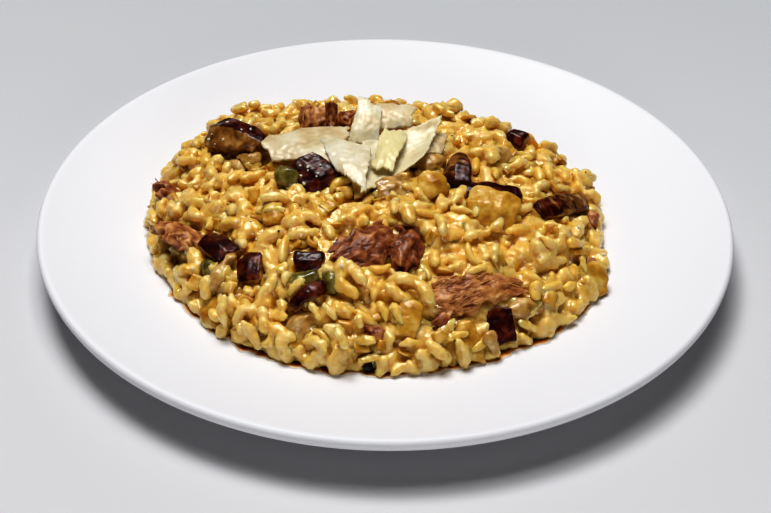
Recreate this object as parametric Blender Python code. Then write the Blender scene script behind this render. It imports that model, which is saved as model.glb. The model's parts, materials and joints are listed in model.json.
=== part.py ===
import math
import random

import bmesh
import bpy
import numpy as np
from mathutils import Matrix, Vector
from mathutils.bvhtree import BVHTree
from mathutils.geometry import delaunay_2d_cdt

# Lengths are in millimetres until a mesh is made: MM turns them into metres there.
MM = 0.001
SEED = 41
GAP = 0.3
# The gaps that a socket in the rice is cut with, one after another: a wide offset can fall short at
# a sharp corner of the piece, and the narrower ones clear what it leaves there.
SOCKET_GAPS = (0.36, 0.14, 0.0)
# The most that a corner moves when a piece is inflated, as a multiple of the gap.
SOCKET_REACH = 2.2
# Points nearer than this are one, in metres in a mesh and in millimetres on the heap.
SAME_POINT = 1e-6

# Plate: a shallow round coupe on a foot ring.
PLATE_STEPS = 56
PLATE_WELL_RADIUS = 75.0
PLATE_WELL_HEIGHT = 9.0
PLATE_LIP_RADIUS = 121.5
PLATE_LIP_HEIGHT = 17.6
PLATE_CURVE_STOPS = (75.0, 87.0, 98.0, 110.0, 121.5)
PLATE_RIM = ((123.4, 18.1), (124.7, 17.4), (125.0, 16.2), (124.4, 14.4), (122.6, 13.0))
PLATE_UNDERSIDE = ((105.0, 8.6), (82.0, 4.6), (77.5, 3.4), (76.0, 0.5), (75.4, 0.0))
PLATE_FOOT_INNER = ((72.6, 0.0), (72.0, 0.5), (71.0, 3.2), (0.0, 3.8))

# Heap of rice: a flat-topped mound whose outline changes with the angle from +X.
HEAP_CENTRE = (-4.0, -2.4)
HEAP_HEIGHT = 26.0
HEAP_SHOULDER = 3.0
HEAP_DROP = 0.6
PROFILE_STOPS = 400
# Step, as a share of the outline radius, over which the slope of the profile is taken.
PROFILE_STEP = 0.01
HEAP_RADII = (81, 83, 79.3, 76.7, 76.7, 77.6, 87.9, 84.3, 81.8, 77.9, 77.9, 78.5, 78.9, 80, 82.3, 84.7)
HEAP_RIM_POINTS = 84
HEAP_BED_POINTS = 24
HEAP_BED_SHARE = 0.8
HEAP_LUMP = 0.8
# The unevenness fades out over this distance from the rim.
HEAP_CALM = 12.0
# Share of the triangles kept once the grains are fused, which drops the smallest ones at their feet.
HEAP_KEPT = 0.58
LUMP_WAVES = ((0.16, 0.05, 0.4), (-0.07, 0.19, 2.1), (0.23, -0.12, 4.0), (0.04, 0.31, 1.2))

# Bare core: the heap's form sunk by about a grain's thickness, with a coarse uneven surface.
CORE_DEPTH = 1.9
CORE_UNEVEN = 0.9
CORE_TRIALS = 5000
CORE_SPACING = 5.6

# A cooked grain, as a five-sided spindle fused to the core.
GRAIN_LENGTH = 10.3
GRAIN_WIDTH = 4.5
GRAIN_SIDES = 5
GRAIN_PROFILE = ((-0.34, 0.8), (0.0, 1.0), (0.34, 0.8))
GRAIN_FLATNESS = 0.86
GRAIN_LIFT = (-1.5, -0.2)
GRAIN_TILT = 0.32
GRAIN_COUNT = 165
GRAIN_TRIALS = 9000
# Points along a grain's middle line, as shares of its length, that keep this far from other grains'.
GRAIN_LINE = (-0.3, 0.0, 0.3)
GRAIN_SPACING = 4.0
GRAIN_CLEARANCE = 0.5
# Half the thickness of the thickest piece is less than this: a farther point is outside.
DEEPEST = 6.0
# A grain that would touch the plate is raised clear of it, and by this much more.
GRAIN_SPARE = 0.01

# Kinds of topping: grid cells along and across, roundness of the outline, thickness left at the
# edge, roughness of the outline, unevenness of the faces, base colour, surface roughness.
KINDS = {
    "duck": dict(cells=(4, 3), rounded=0.35, edge=0.62, ragged=0.12, uneven=0.5,
                 colour=(0.16, 0.055, 0.03), roughness=0.6),
    "mushroom": dict(cells=(4, 2), rounded=0.3, edge=0.8, ragged=0.06, uneven=0.25,
                     colour=(0.045, 0.016, 0.012), roughness=0.3),
    "pale": dict(cells=(3, 2), rounded=0.6, edge=0.65, ragged=0.06, uneven=0.25,
                 colour=(0.42, 0.26, 0.11), roughness=0.4),
    "green": dict(cells=(3, 2), rounded=0.8, edge=0.6, ragged=0.05, uneven=0.2,
                  colour=(0.14, 0.15, 0.03), roughness=0.35),
    "onion": dict(cells=(3, 2), rounded=0.25, edge=0.8, ragged=0.12, uneven=0.3,
                  colour=(0.62, 0.4, 0.08), roughness=0.3),
    "cheese": dict(cells=(5, 3), rounded=0.45, edge=0.8, ragged=0.12, uneven=0.35,
                   colour=(0.85, 0.82, 0.66), roughness=0.45),
    "ball": dict(colour=(0.5, 0.33, 0.15), roughness=0.35),
}

# Toppings: name, kind, the two ends of the line along the visible face, turn about that line in
# degrees, width, thickness, rise of the middle along the length, rise of the middle across.
TOPPINGS = (
    ("duck_slab_left", "duck", (-17.0, -50.8, 31.5), (3.4, -37.0, 34.6), 22, 16, 8, 0.5, 1.0),
    ("duck_slab_right", "duck", (8.6, -31.8, 34.8), (6.4, -50.6, 31.6), 8, 10, 7, 1.0, 1.0),
    ("duck_shreds_right", "duck", (15.9, -62.6, 26.6), (48.3, -50.7, 24.3), 30, 12, 3.6, 1.5, 0.5),
    ("duck_shreds_left", "duck", (-76.8, -13.4, 20.6), (-63.6, -31.0, 25.0), -26, 17, 6, 1.0, 1.0),
    ("duck_top", "duck", (-32.1, 28.0, 38.0), (-20.7, 28.5, 39.0), 35, 11, 6, 1.0, 1.0),
    ("duck_crisp", "duck", (-20.0, 25.5, 47.5), (-17.0, 24.5, 37.5), 60, 8, 2.2, 1.0, 1.5),
    ("duck_front", "duck", (-6.5, -74.0, 20.6), (0.8, -75.2, 19.6), 50, 7, 5, 0.5, 0.5),
    ("duck_under_shreds", "duck", (16.4, -70.2, 22.6), (21.4, -71.8, 20.4), 45, 5.5, 4, 0.5, 0.5),
    ("duck_bit_right", "duck", (73.2, 0.6, 18.0), (74.6, -6.9, 16.0), 40, 3.5, 3, 0.3, 0.3),
    ("duck_bit_low", "duck", (70.2, -31.6, 18.8), (73.6, -25.6, 17.0), 30, 3, 2.6, 0.3, 0.3),
    ("duck_left_edge", "duck", (-80.6, 12.6, 19.6), (-75.6, 2.0, 22.0), -40, 9, 6, 0.5, 0.5),
    ("mushroom_cap_back", "mushroom", (-64.9, 27.0, 33.4), (-44.6, 11.2, 37.4), 20, 13, 6, 3.0, 2.5),
    ("mushroom_square_top", "mushroom", (-31.0, -0.9, 40.6), (-20.4, -10.4, 35.8), 24, 13, 4.5, 0.5, 0.7),
    ("mushroom_square_left", "mushroom", (-46.6, -42.0, 28.6), (-46.2, -53.0, 24.4), 26, 10, 5.5, 0.5, 0.6),
    ("mushroom_stem_left", "pale", (-52.0, -41.0, 28.6), (-59.4, -51.6, 20.6), -10, 4, 3, 1.5, 0.3),
    ("mushroom_left", "mushroom", (-62.2, -28.9, 26.0), (-52.6, -41.6, 27.0), 14, 9, 4.5, 1.0, 1.0),
    ("mushroom_button", "ball", (-27.4, -66.6, 23.4), (-22.8, -74.4, 18.2), 0, 12, 11, 0, 0),
    ("mushroom_arc", "mushroom", (-19.0, -60.6, 29.4), (-31.6, -65.4, 23.6), 24, 5, 2.4, 3.0, 0.3),
    ("mushroom_dark_middle", "mushroom", (-31.0, -49.4, 31.0), (-20.6, -50.6, 31.4), 26, 8, 4, 0.5, 0.8),
    ("mushroom_quarter_back", "mushroom", (26.1, 7.0, 38.0), (24.6, -7.4, 35.0), -14, 10, 4, 1.0, 1.2),
    ("mushroom_slice_right", "mushroom", (28.6, -10.9, 35.6), (48.4, -11.2, 32.4), 16, 8.5, 2.6, 1.0, 0.8),
    ("mushroom_stemmed", "pale", (36.5, 11.2, 34.4), (45.4, 14.2, 33.0), 25, 7, 5, 1.0, 1.0),
    ("mushroom_back_dark", "mushroom", (44.9, 34.2, 30.4), (51.4, 29.4, 29.4), 30, 7, 4, 0.8, 0.8),
    ("mushroom_edge_right", "mushroom", (54.2, -15.6, 30.0), (73.0, 4.4, 21.0), 28, 8, 4, 1.0, 0.8),
    ("mushroom_hollow_front", "mushroom", (38.2, -61.4, 22.4), (40.6, -70.4, 14.0), 10, 9, 4, -0.8, -1.2),
    ("mushroom_strip_front", "pale", (34.6, -71.6, 18.6), (38.0, -74.6, 12.6), 10, 3.4, 2.2, 0.4, 0.2),
    ("mushroom_pale_strip", "pale", (-66.3, 14.6, 28.0), (-51.0, 6.0, 33.4), 20, 5, 3.6, 0.6, 0.5),
    ("mushroom_pale_round", "pale", (-54.4, 11.4, 33.8), (-46.0, 6.2, 35.6), 24, 6, 3.4, 0.8, 0.8),
    ("mushroom_round_middle", "pale", (-2.6, -16.4, 36.4), (9.4, -9.6, 36.8), 24, 11, 4, 1.0, 1.2),
    ("mushroom_under_flake", "pale", (12.4, 1.0, 36.6), (20.6, 3.6, 36.4), 22, 8, 3.6, 0.8, 0.8),
    ("mushroom_strip_low", "pale", (41.6, -61.0, 21.2), (54.6, -54.6, 19.4), 40, 5, 3, 0.8, 0.4),
    ("green_top", "green", (-36.6, -6.4, 37.8), (-29.6, -7.8, 37.6), 25, 6, 5, 0.6, 0.6),
    ("green_left", "green", (-63.2, -38.4, 22.6), (-57.2, -44.6, 23.4), 10, 6, 4.6, 0.6, 0.6),
    ("green_cross_a", "green", (-18.6, -53.8, 31.4), (-16.8, -62.0, 28.4), 8, 5, 3.6, 0.8, 0.6),
    ("green_cross_b", "green", (-31.4, -57.0, 28.0), (-21.8, -55.6, 30.0), 22, 5, 3.6, 0.6, 0.6),
    ("onion_slab_right", "onion", (28.6, -18.8, 34.8), (45.5, -23.5, 32.2), 28, 16, 3.2, 2.2, 2.0),
    ("onion_corner_right", "onion", (66.4, -39.4, 17.4), (77.9, -34.9, 14.2), 50, 12, 3.6, 0.3, 0.3),
    ("onion_triangle_front", "onion", (27.0, -68.2, 21.8), (26.4, -77.6, 11.8), 6, 11, 3.4, 0.6, 0.6),
    ("onion_wedge_left", "onion", (-60.6, -52.9, 15.9), (-51.6, -62.9, 14.7), 40, 10, 4.6, 0.5, 0.5),
    ("onion_wedge_front", "onion", (-22.2, -77.1, 14.6), (-8.2, -78.9, 15.4), 58, 10, 4.4, 0.6, 0.6),
    ("onion_slab_front", "onion", (9.4, -64.6, 26.9), (7.2, -75.0, 19.4), 8, 8, 3.8, 0.5, 0.5),
    ("onion_upper_left", "onion", (-39.6, -18.4, 34.8), (-38.2, -29.4, 33.6), 6, 7, 4, 0.8, 0.8),
    ("onion_lump_front", "onion", (-38.0, -71.6, 13.6), (-28.0, -75.3, 14.6), 50, 8, 4.6, 0.8, 0.8),
    ("onion_fold_middle", "onion", (11.4, -12.0, 36.2), (21.6, -9.2, 36.2), 26, 10, 3.2, 2.0, 1.5),
    ("onion_back", "onion", (-1.9, 44.6, 34.0), (5.6, 47.4, 33.4), 25, 5.5, 4.4, 0.6, 0.6),
    ("onion_back_left", "onion", (-37.4, 33.6, 34.4), (-28.4, 36.6, 34.4), 20, 6.5, 4.4, 0.8, 0.8),
    ("onion_back_far", "onion", (-51.0, 30.6, 32.4), (-41.4, 33.8, 33.4), 20, 6.5, 4.4, 0.8, 0.8),
    ("parmesan_left", "cheese", (-43.6, 9.0, 37.6), (-19.0, 10.0, 38.8), 10, 20, 0.9, 1.4, 1.0),
    ("parmesan_centre", "cheese", (-20.4, 2.8, 41.0), (-5.4, -10.8, 38.4), 8, 14, 0.9, 1.0, 0.8),
    ("parmesan_back", "cheese", (-13.6, 18.4, 49.0), (-5.6, 13.0, 40.4), 26, 13, 0.9, 0.8, 0.8),
    ("parmesan_top", "cheese", (-6.0, 21.0, 43.8), (9.6, 26.0, 42.8), 40, 12, 0.9, 1.2, 0.8),
    ("parmesan_right", "cheese", (-3.6, -9.8, 38.2), (16.6, 16.6, 43.6), 4, 20, 0.9, -1.6, -1.6),
    ("parmesan_inner", "cheese", (-6.4, 1.4, 43.4), (4.4, 5.6, 44.2), 26, 11, 0.9, 1.0, 0.8),
    ("parmesan_small", "cheese", (14.2, 12.2, 38.4), (21.4, 15.4, 38.0), 16, 7, 0.9, 0.5, 0.5),
    ("peppercorn", "ball", (-6.6, -80.4, 12.7), (-3.4, -80.4, 12.7), 0, 3.2, 3.2, 0, 0),
)

# Share of the width lost from the first end to the last, for pieces that taper.
TAPERS = {"onion_triangle_front": -0.55, "duck_shreds_right": 0.35, "mushroom_quarter_back": -0.35,
          "duck_top": 0.3, "parmesan_back": -0.25, "mushroom_cap_back": 0.2, "onion_wedge_front": 0.3}
COLOURS = {"peppercorn": (0.01, 0.008, 0.008), "parmesan_inner": (0.85, 0.78, 0.46)}


def clear_scene():
    for obj in list(bpy.data.objects):
        bpy.data.objects.remove(obj, do_unlink=True)


def material(name, colour, roughness):
    made = bpy.data.materials.new(name)
    made.use_nodes = True
    shader = made.node_tree.nodes["Principled BSDF"]
    shader.inputs["Base Color"].default_value = (*colour, 1.0)
    shader.inputs["Roughness"].default_value = roughness
    made.diffuse_color = (*colour, 1.0)
    return made


def add_object(name, bm, finish=None):
    mesh = bpy.data.meshes.new(name)
    bm.to_mesh(mesh)
    bm.free()
    obj = bpy.data.objects.new(name, mesh)
    if finish:
        mesh.materials.append(finish)
    bpy.context.scene.collection.objects.link(obj)
    return obj


def millimetre_mesh(points, faces):
    bm = bmesh.new()
    verts = [bm.verts.new(Vector(point) * MM) for point in points]
    for face in faces:
        bm.faces.new([verts[i] for i in face])
    bm.normal_update()
    return bm


def apply_modifiers(obj):
    bpy.context.view_layer.update()
    graph = bpy.context.evaluated_depsgraph_get()
    mesh = bpy.data.meshes.new_from_object(obj.evaluated_get(graph))
    obj.modifiers.clear()
    obj.data = mesh


def boolean(obj, others, operation):
    """Applies one Boolean with all the others, then removes them."""
    group = bpy.data.collections.new("operands")
    bpy.context.scene.collection.children.link(group)
    for other in others:
        bpy.context.scene.collection.objects.unlink(other)
        group.objects.link(other)
    modifier = obj.modifiers.new(operation, "BOOLEAN")
    modifier.operation = operation
    modifier.solver = "MANIFOLD"
    modifier.operand_type = "COLLECTION"
    modifier.collection = group
    apply_modifiers(obj)
    for other in others:
        bpy.data.objects.remove(other, do_unlink=True)
    bpy.data.collections.remove(group)


def keep_largest_body(obj):
    """Drops the scraps and sealed hollows that a Boolean leaves."""
    bm = bmesh.new()
    bm.from_mesh(obj.data)
    seen, bodies = set(), []
    for face in bm.faces:
        if face in seen:
            continue
        body, queue = [], [face]
        seen.add(face)
        while queue:
            current = queue.pop()
            body.append(current)
            for edge in current.edges:
                for neighbour in edge.link_faces:
                    if neighbour not in seen:
                        seen.add(neighbour)
                        queue.append(neighbour)
        bodies.append(body)
    bodies.sort(key=len)
    scraps = [face for body in bodies[:-1] for face in body]
    if scraps:
        bmesh.ops.delete(bm, geom=scraps, context="FACES")
        loose = [vert for vert in bm.verts if not vert.link_faces]
        bmesh.ops.delete(bm, geom=loose, context="VERTS")
    bm.to_mesh(obj.data)
    bm.free()


def inflated(obj, distance):
    bm = bmesh.new()
    bm.from_mesh(obj.data)
    bm.normal_update()
    moves = [vert.normal * vert.calc_shell_factor() * distance * MM for vert in bm.verts]
    for vert, move in zip(bm.verts, moves):
        limit = SOCKET_REACH * distance * MM
        vert.co += move if move.length < limit else move.normalized() * limit
    return add_object(obj.name + "_socket", bm)


def tree_of(*objects):
    bm = bmesh.new()
    for obj in objects:
        bm.from_mesh(obj.data)
    tree = BVHTree.FromBMesh(bm)
    bm.free()
    return tree


def is_inside(tree, point, within):
    """Whether the point is inside one of the closed surfaces or nearer to it than this."""
    place, normal, _, distance = tree.find_nearest(Vector(point) * MM)
    if distance < within * MM:
        return True
    return distance < DEEPEST * MM and (Vector(point) * MM - place).dot(normal) < 0


# Plate

def plate_top(radius):
    run = (radius - PLATE_WELL_RADIUS) / (PLATE_LIP_RADIUS - PLATE_WELL_RADIUS)
    return PLATE_WELL_HEIGHT + (PLATE_LIP_HEIGHT - PLATE_WELL_HEIGHT) * min(max(run, 0.0), 1.0) ** 2


def make_plate():
    top = [(0.0, PLATE_WELL_HEIGHT)] + [(r, plate_top(r)) for r in PLATE_CURVE_STOPS]
    profile = top + list(PLATE_RIM) + list(PLATE_UNDERSIDE) + list(PLATE_FOOT_INNER)
    bm = bmesh.new()
    verts = [bm.verts.new((r * MM, 0, z * MM)) for r, z in profile]
    edges = [bm.edges.new(pair) for pair in zip(verts, verts[1:])]
    bmesh.ops.spin(bm, geom=verts + edges, cent=(0, 0, 0), axis=(0, 0, 1), angle=2 * math.pi,
                   steps=PLATE_STEPS, use_merge=True)
    bmesh.ops.remove_doubles(bm, verts=bm.verts, dist=SAME_POINT)
    bmesh.ops.recalc_face_normals(bm, faces=bm.faces)
    return add_object("plate", bm, material("porcelain", (0.86, 0.86, 0.87), 0.2))


# Heap form

def heap_radius(angle):
    """Outline radius at this angle, smooth between the radii of the list."""
    count = len(HEAP_RADII)
    place = angle / (2 * math.pi) * count
    first, share = math.floor(place), place - math.floor(place)
    a, b, c, d = (HEAP_RADII[(first + i) % count] for i in (-1, 0, 1, 2))
    slope = (c - a) / 2
    curve = a - 2.5 * b + 2 * c - 0.5 * d
    twist = -0.5 * a + 1.5 * b - 1.5 * c + 0.5 * d
    return b + share * (slope + share * (curve + share * twist))


def heap_profile(rho):
    return max(1 - rho**HEAP_SHOULDER, 0.0) ** HEAP_DROP


# The heap's profile as a table: share of the outline radius, height, and distance along the surface.
RUN = np.linspace(0, 1, PROFILE_STOPS)
RISE = np.array([heap_profile(rho) for rho in RUN])
MEAN_RADIUS = sum(HEAP_RADII) / len(HEAP_RADII)
ARC = np.concatenate([[0], np.cumsum(np.hypot(np.diff(RUN) * MEAN_RADIUS, np.diff(RISE) * HEAP_HEIGHT))])


def lump(x, y):
    return HEAP_LUMP * sum(math.sin(a * x + b * y + c) for a, b, c in LUMP_WAVES) / 2


def on_heap(p, q, lift):
    """The point that lies this far along the heap's surface from its middle, lifted off it."""
    along = min(math.hypot(p, q), ARC[-1])
    angle = math.atan2(q, p)
    rho = float(np.interp(along, ARC, RUN))
    ahead = min(rho + PROFILE_STEP, 1.0)
    run = (ahead - rho + SAME_POINT) * MEAN_RADIUS
    drop = (heap_profile(rho) - heap_profile(ahead)) * HEAP_HEIGHT
    slant = math.hypot(run, drop)
    out = rho * heap_radius(angle) + lift * drop / slant
    x = HEAP_CENTRE[0] + out * math.cos(angle)
    y = HEAP_CENTRE[1] + out * math.sin(angle)
    bed = plate_top(math.hypot(x, y)) + GAP
    z = PLATE_WELL_HEIGHT + GAP + HEAP_HEIGHT * heap_profile(rho) + lift * run / slant
    return x, y, max(z, bed)


# Toppings

def frame_of(first, last, turn):
    """Axes of a piece: along its line, across it, and out of its visible face."""
    first, last = Vector(first), Vector(last)
    along = (last - first).normalized()
    out = (Vector((0, 0, 1)) - along * along.z).normalized()
    out = Matrix.Rotation(math.radians(turn), 3, along) @ out
    if along.x < 0:
        out = Matrix.Rotation(math.radians(-2 * turn), 3, along) @ out
    return along, out.cross(along), out


def slab(topping, kind, seed):
    """A closed piece with two uneven faces, split alike, and a wall between them."""
    name, _, first, last, turn, width, thick, bend, cup = topping
    along, across, out = frame_of(first, last, turn)
    length = (Vector(last) - Vector(first)).length
    middle = (Vector(first) + Vector(last)) / 2 - out * thick / 2
    columns, rows = kind["cells"]
    taper = TAPERS.get(name, 0.0)
    points = []
    for side in (1, -1):
        jitter = random.Random(seed)
        for i in range(columns + 1):
            for j in range(rows + 1):
                u, v = 2 * i / columns - 1, 2 * j / rows - 1
                border = i in (0, columns) or j in (0, rows)
                pull = kind["ragged"] if border else 0.0
                x = u * math.sqrt(1 - kind["rounded"] * v * v / 2) * (1 - pull * jitter.random())
                y = v * math.sqrt(1 - kind["rounded"] * u * u / 2) * (1 - pull * jitter.random())
                y *= 1 - taper * u
                depth = thick / 2 * (kind["edge"] if border else 1.0)
                wave = min(kind["uneven"], thick / 2) * (jitter.random() - 0.5)
                z = bend * (1 - x * x) + cup * (1 - y * y) + wave + side * depth
                points.append(middle + along * x * length / 2 + across * y * width / 2 + out * z)
    count = (columns + 1) * (rows + 1)
    faces = []
    for i in range(columns):
        for j in range(rows):
            a, b = i * (rows + 1) + j, (i + 1) * (rows + 1) + j
            faces += [(a, b, b + 1), (a, b + 1, a + 1)]
            faces += [(a + count, b + 1 + count, b + count), (a + count, a + 1 + count, b + 1 + count)]
    ring = [i * (rows + 1) for i in range(columns)]
    ring += [columns * (rows + 1) + j for j in range(rows)]
    ring += [(i + 1) * (rows + 1) - 1 for i in range(columns, 0, -1)]
    ring += list(range(rows, 0, -1))
    for a, b in zip(ring, ring[1:] + ring[:1]):
        faces += [(a, a + count, b + count), (a, b + count, b)]
    return points, faces


def ball(topping):
    _, _, first, last, turn, width, thick, _, _ = topping
    along, across, out = frame_of(first, last, turn)
    length = (Vector(last) - Vector(first)).length
    middle = (Vector(first) + Vector(last)) / 2 - out * thick / 2
    bm = bmesh.new()
    bmesh.ops.create_icosphere(bm, subdivisions=2, radius=0.5)
    points = [middle + along * v.co.x * length + across * v.co.y * width + out * v.co.z * thick
              for v in bm.verts]
    faces = [[v.index for v in face.verts] for face in bm.faces]
    bm.free()
    return points, faces


def make_toppings(plate):
    """Makes each piece and cuts it back where it would come too near to the plate or to an earlier one."""
    made = []
    for number, topping in enumerate(TOPPINGS):
        name, kind = topping[0], KINDS[topping[1]]
        points, faces = ball(topping) if topping[1] == "ball" else slab(topping, kind, SEED + number)
        bm = millimetre_mesh(points, faces)
        bmesh.ops.recalc_face_normals(bm, faces=bm.faces)
        finish = material(name, COLOURS.get(name, kind["colour"]), kind["roughness"])
        obj = add_object(name, bm, finish)
        for other in [plate] + made:
            socket = inflated(other, GAP)
            if tree_of(obj).overlap(tree_of(socket)):
                boolean(obj, [socket], "DIFFERENCE")
                keep_largest_body(obj)
            else:
                bpy.data.objects.remove(socket, do_unlink=True)
        made.append(obj)
    return made


# Rice

def core_surface(rng):
    """Triangulated top of the bare core, out to the line where it meets the plate."""
    flat, reach = [(0.0, 0.0)], ARC[-1]
    for i in range(HEAP_RIM_POINTS):
        angle = 2 * math.pi * i / HEAP_RIM_POINTS
        flat.append((reach * math.cos(angle), reach * math.sin(angle)))
    taken = np.array(flat)
    for _ in range(CORE_TRIALS):
        radius, angle = reach * math.sqrt(rng.random()), rng.random() * 2 * math.pi
        point = np.array([radius * math.cos(angle), radius * math.sin(angle)])
        if np.hypot(*(taken - point).T).min() > CORE_SPACING:
            taken = np.vstack([taken, point])
    result = delaunay_2d_cdt([Vector(p) for p in taken], [], [], 0, SAME_POINT)
    if len(result[0]) != len(taken):
        raise ValueError("two points of the core's surface fell together")
    points = []
    for p, q in taken:
        uneven = lump(p, q) * min(1.0, (reach - math.hypot(p, q)) / HEAP_CALM)
        points.append(on_heap(p, q, uneven - CORE_DEPTH + CORE_UNEVEN * (rng.random() - 0.5)))
    order = [group[0] for group in result[3]]
    return points, [[order[i] for i in face] for face in result[2]]


def make_core(rng):
    points, faces = core_surface(rng)
    rim = list(range(1, 1 + HEAP_RIM_POINTS))
    for i in rim:
        x, y, _ = points[i]
        points[i] = (x, y, plate_top(math.hypot(x, y)) + GAP)
    bed = [points[i] for i in rim]
    for i in range(HEAP_BED_POINTS):
        angle = 2 * math.pi * i / HEAP_BED_POINTS
        out = HEAP_BED_SHARE * heap_radius(angle)
        bed.append((HEAP_CENTRE[0] + out * math.cos(angle), HEAP_CENTRE[1] + out * math.sin(angle),
                    PLATE_WELL_HEIGHT + GAP))
    outline = [(i, (i + 1) % len(rim)) for i in range(len(rim))]
    result = delaunay_2d_cdt([Vector(p[:2]) for p in bed], outline, [], 1, SAME_POINT)
    index = [rim[i] if i < len(rim) else len(points) + i - len(rim) for i in range(len(bed))]
    points += bed[len(rim):]
    order = [group[0] for group in result[3]]
    faces += [[index[order[i]] for i in reversed(face)] for face in result[2]]
    bm = millimetre_mesh(points, faces)
    bmesh.ops.recalc_face_normals(bm, faces=bm.faces)
    return add_object("rice_heap", bm, material("risotto_rice", (0.68, 0.42, 0.12), 0.35))


def grain_body(centre, along, across, out):
    points = [centre - along * GRAIN_LENGTH / 2, centre + along * GRAIN_LENGTH / 2]
    for place, girth in GRAIN_PROFILE:
        for i in range(GRAIN_SIDES):
            angle = 2 * math.pi * i / GRAIN_SIDES
            ring = across * math.cos(angle) + out * math.sin(angle) * GRAIN_FLATNESS
            points.append(centre + along * place * GRAIN_LENGTH + ring * girth * GRAIN_WIDTH / 2)
    faces = []
    last = 2 + GRAIN_SIDES * (len(GRAIN_PROFILE) - 1)
    for i in range(GRAIN_SIDES):
        j = (i + 1) % GRAIN_SIDES
        faces += [(0, 2 + j, 2 + i), (1, last + i, last + j)]
        for ring in range(len(GRAIN_PROFILE) - 1):
            a = 2 + ring * GRAIN_SIDES
            faces.append((a + i, a + j, a + j + GRAIN_SIDES, a + i + GRAIN_SIDES))
    return points, faces


def scatter_grains(tree, rng):
    """Whole grains half sunk in the core, clear of the toppings, the plate and mostly of one another."""
    made, lines = [], np.empty((0, 3, 3))
    for _ in range(GRAIN_TRIALS):
        if len(made) == GRAIN_COUNT:
            break
        radius, angle = ARC[-1] * math.sqrt(rng.random()), rng.random() * 2 * math.pi
        p, q, heading = radius * math.cos(angle), radius * math.sin(angle), rng.random() * math.pi
        low, high = GRAIN_LIFT
        lift = low + (high - low) * rng.random() + lump(p, q)
        centre = Vector(on_heap(p, q, lift))
        tilt = GRAIN_TILT * (2 * rng.random() - 1)
        ahead = Vector(on_heap(p + math.cos(heading), q + math.sin(heading), lift + tilt))
        out = (Vector(on_heap(p, q, lift + 1)) - centre).normalized()
        along = (ahead - centre).normalized()
        across = out.cross(along).normalized()
        points, faces = grain_body(centre, along, across, along.cross(across))
        line = np.array([centre + along * GRAIN_LENGTH * share for share in GRAIN_LINE])
        spread = lines[:, :, None] - line[None, None]
        if len(lines) and np.linalg.norm(spread, axis=3).min() < GRAIN_SPACING:
            continue
        low = max(plate_top(math.hypot(p[0], p[1])) + GAP - p[2] for p in points)
        if low > 0:
            points = [p + Vector((0, 0, low + GRAIN_SPARE)) for p in points]
        if any(is_inside(tree, point, GRAIN_CLEARANCE) for point in points):
            continue
        bm = millimetre_mesh(points, faces)
        bmesh.ops.recalc_face_normals(bm, faces=bm.faces)
        made.append(add_object("grain", bm))
        lines = np.concatenate([lines, line[None]])
    return made


def make_heap(toppings):
    rng = random.Random(SEED)
    heap = make_core(rng)
    boolean(heap, scatter_grains(tree_of(*toppings), rng), "UNION")
    thinner = heap.modifiers.new("thinner", "DECIMATE")
    thinner.ratio = HEAP_KEPT
    apply_modifiers(heap)
    for distance in SOCKET_GAPS:
        boolean(heap, [inflated(topping, distance) for topping in toppings], "DIFFERENCE")
    keep_largest_body(heap)


def main():
    clear_scene()
    make_heap(make_toppings(make_plate()))


main()
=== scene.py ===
import json
import math
import random

import bmesh
import bpy
import numpy as np
from mathutils import Matrix, Vector, noise
from mathutils.bvhtree import BVHTree
from mathutils.kdtree import KDTree

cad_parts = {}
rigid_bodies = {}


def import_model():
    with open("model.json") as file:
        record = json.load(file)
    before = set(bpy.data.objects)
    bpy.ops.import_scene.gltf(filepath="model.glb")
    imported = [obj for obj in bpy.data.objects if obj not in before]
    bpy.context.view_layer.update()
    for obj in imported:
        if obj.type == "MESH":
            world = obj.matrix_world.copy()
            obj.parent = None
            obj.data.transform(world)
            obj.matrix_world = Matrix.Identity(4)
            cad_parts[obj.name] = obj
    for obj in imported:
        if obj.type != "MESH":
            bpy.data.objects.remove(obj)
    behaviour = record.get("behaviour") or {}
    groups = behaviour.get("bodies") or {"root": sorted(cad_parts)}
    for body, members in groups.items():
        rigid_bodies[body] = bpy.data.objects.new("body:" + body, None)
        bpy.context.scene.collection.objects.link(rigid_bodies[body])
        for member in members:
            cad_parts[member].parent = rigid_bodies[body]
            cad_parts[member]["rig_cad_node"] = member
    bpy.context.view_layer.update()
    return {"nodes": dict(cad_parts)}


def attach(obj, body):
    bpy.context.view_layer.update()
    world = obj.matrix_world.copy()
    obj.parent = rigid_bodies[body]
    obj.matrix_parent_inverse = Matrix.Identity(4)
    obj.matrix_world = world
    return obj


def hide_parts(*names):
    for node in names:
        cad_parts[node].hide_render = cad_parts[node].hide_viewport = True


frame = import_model()
nodes = frame["nodes"]
mm = 0.001
fullTurn = 2 * math.pi


# Shader helpers

# sRGB hex code to the linear colour that the shaders take
def linear(code):
    parts = [int(code[i:i + 2], 16) / 255 for i in (1, 3, 5)]
    return tuple(c / 12.92 if c <= 0.04045 else ((c + 0.055) / 1.055) ** 2.4 for c in parts) + (1.0,)


# Adds a node, sets its properties or unlinked sockets, and links its inputs.
def addNode(tree, kind, settings=None, links=None):
    node = tree.nodes.new(kind)
    for key, value in (settings or {}).items():
        if isinstance(key, str) and hasattr(node, key):
            setattr(node, key, value)
        else:
            node.inputs[key].default_value = value
    for key, socket in (links or {}).items():
        tree.links.new(socket, node.inputs[key])
    return node


def wet(weight, roughness):
    return {"Coat Weight": weight, "Coat Roughness": roughness}


def seeThrough(weight, depth, radius):
    return {"Subsurface Weight": weight, "Subsurface Scale": depth * mm, "Subsurface Radius": radius}


def startMaterial(name, settings):
    made = bpy.data.materials.new(name)
    made.use_nodes = True
    tree = made.node_tree
    shader = tree.nodes["Principled BSDF"]
    for key, value in settings.items():
        shader.inputs[key].default_value = value
    coords = addNode(tree, "ShaderNodeTexCoord").outputs["Object"]
    return made, tree, shader, coords


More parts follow.
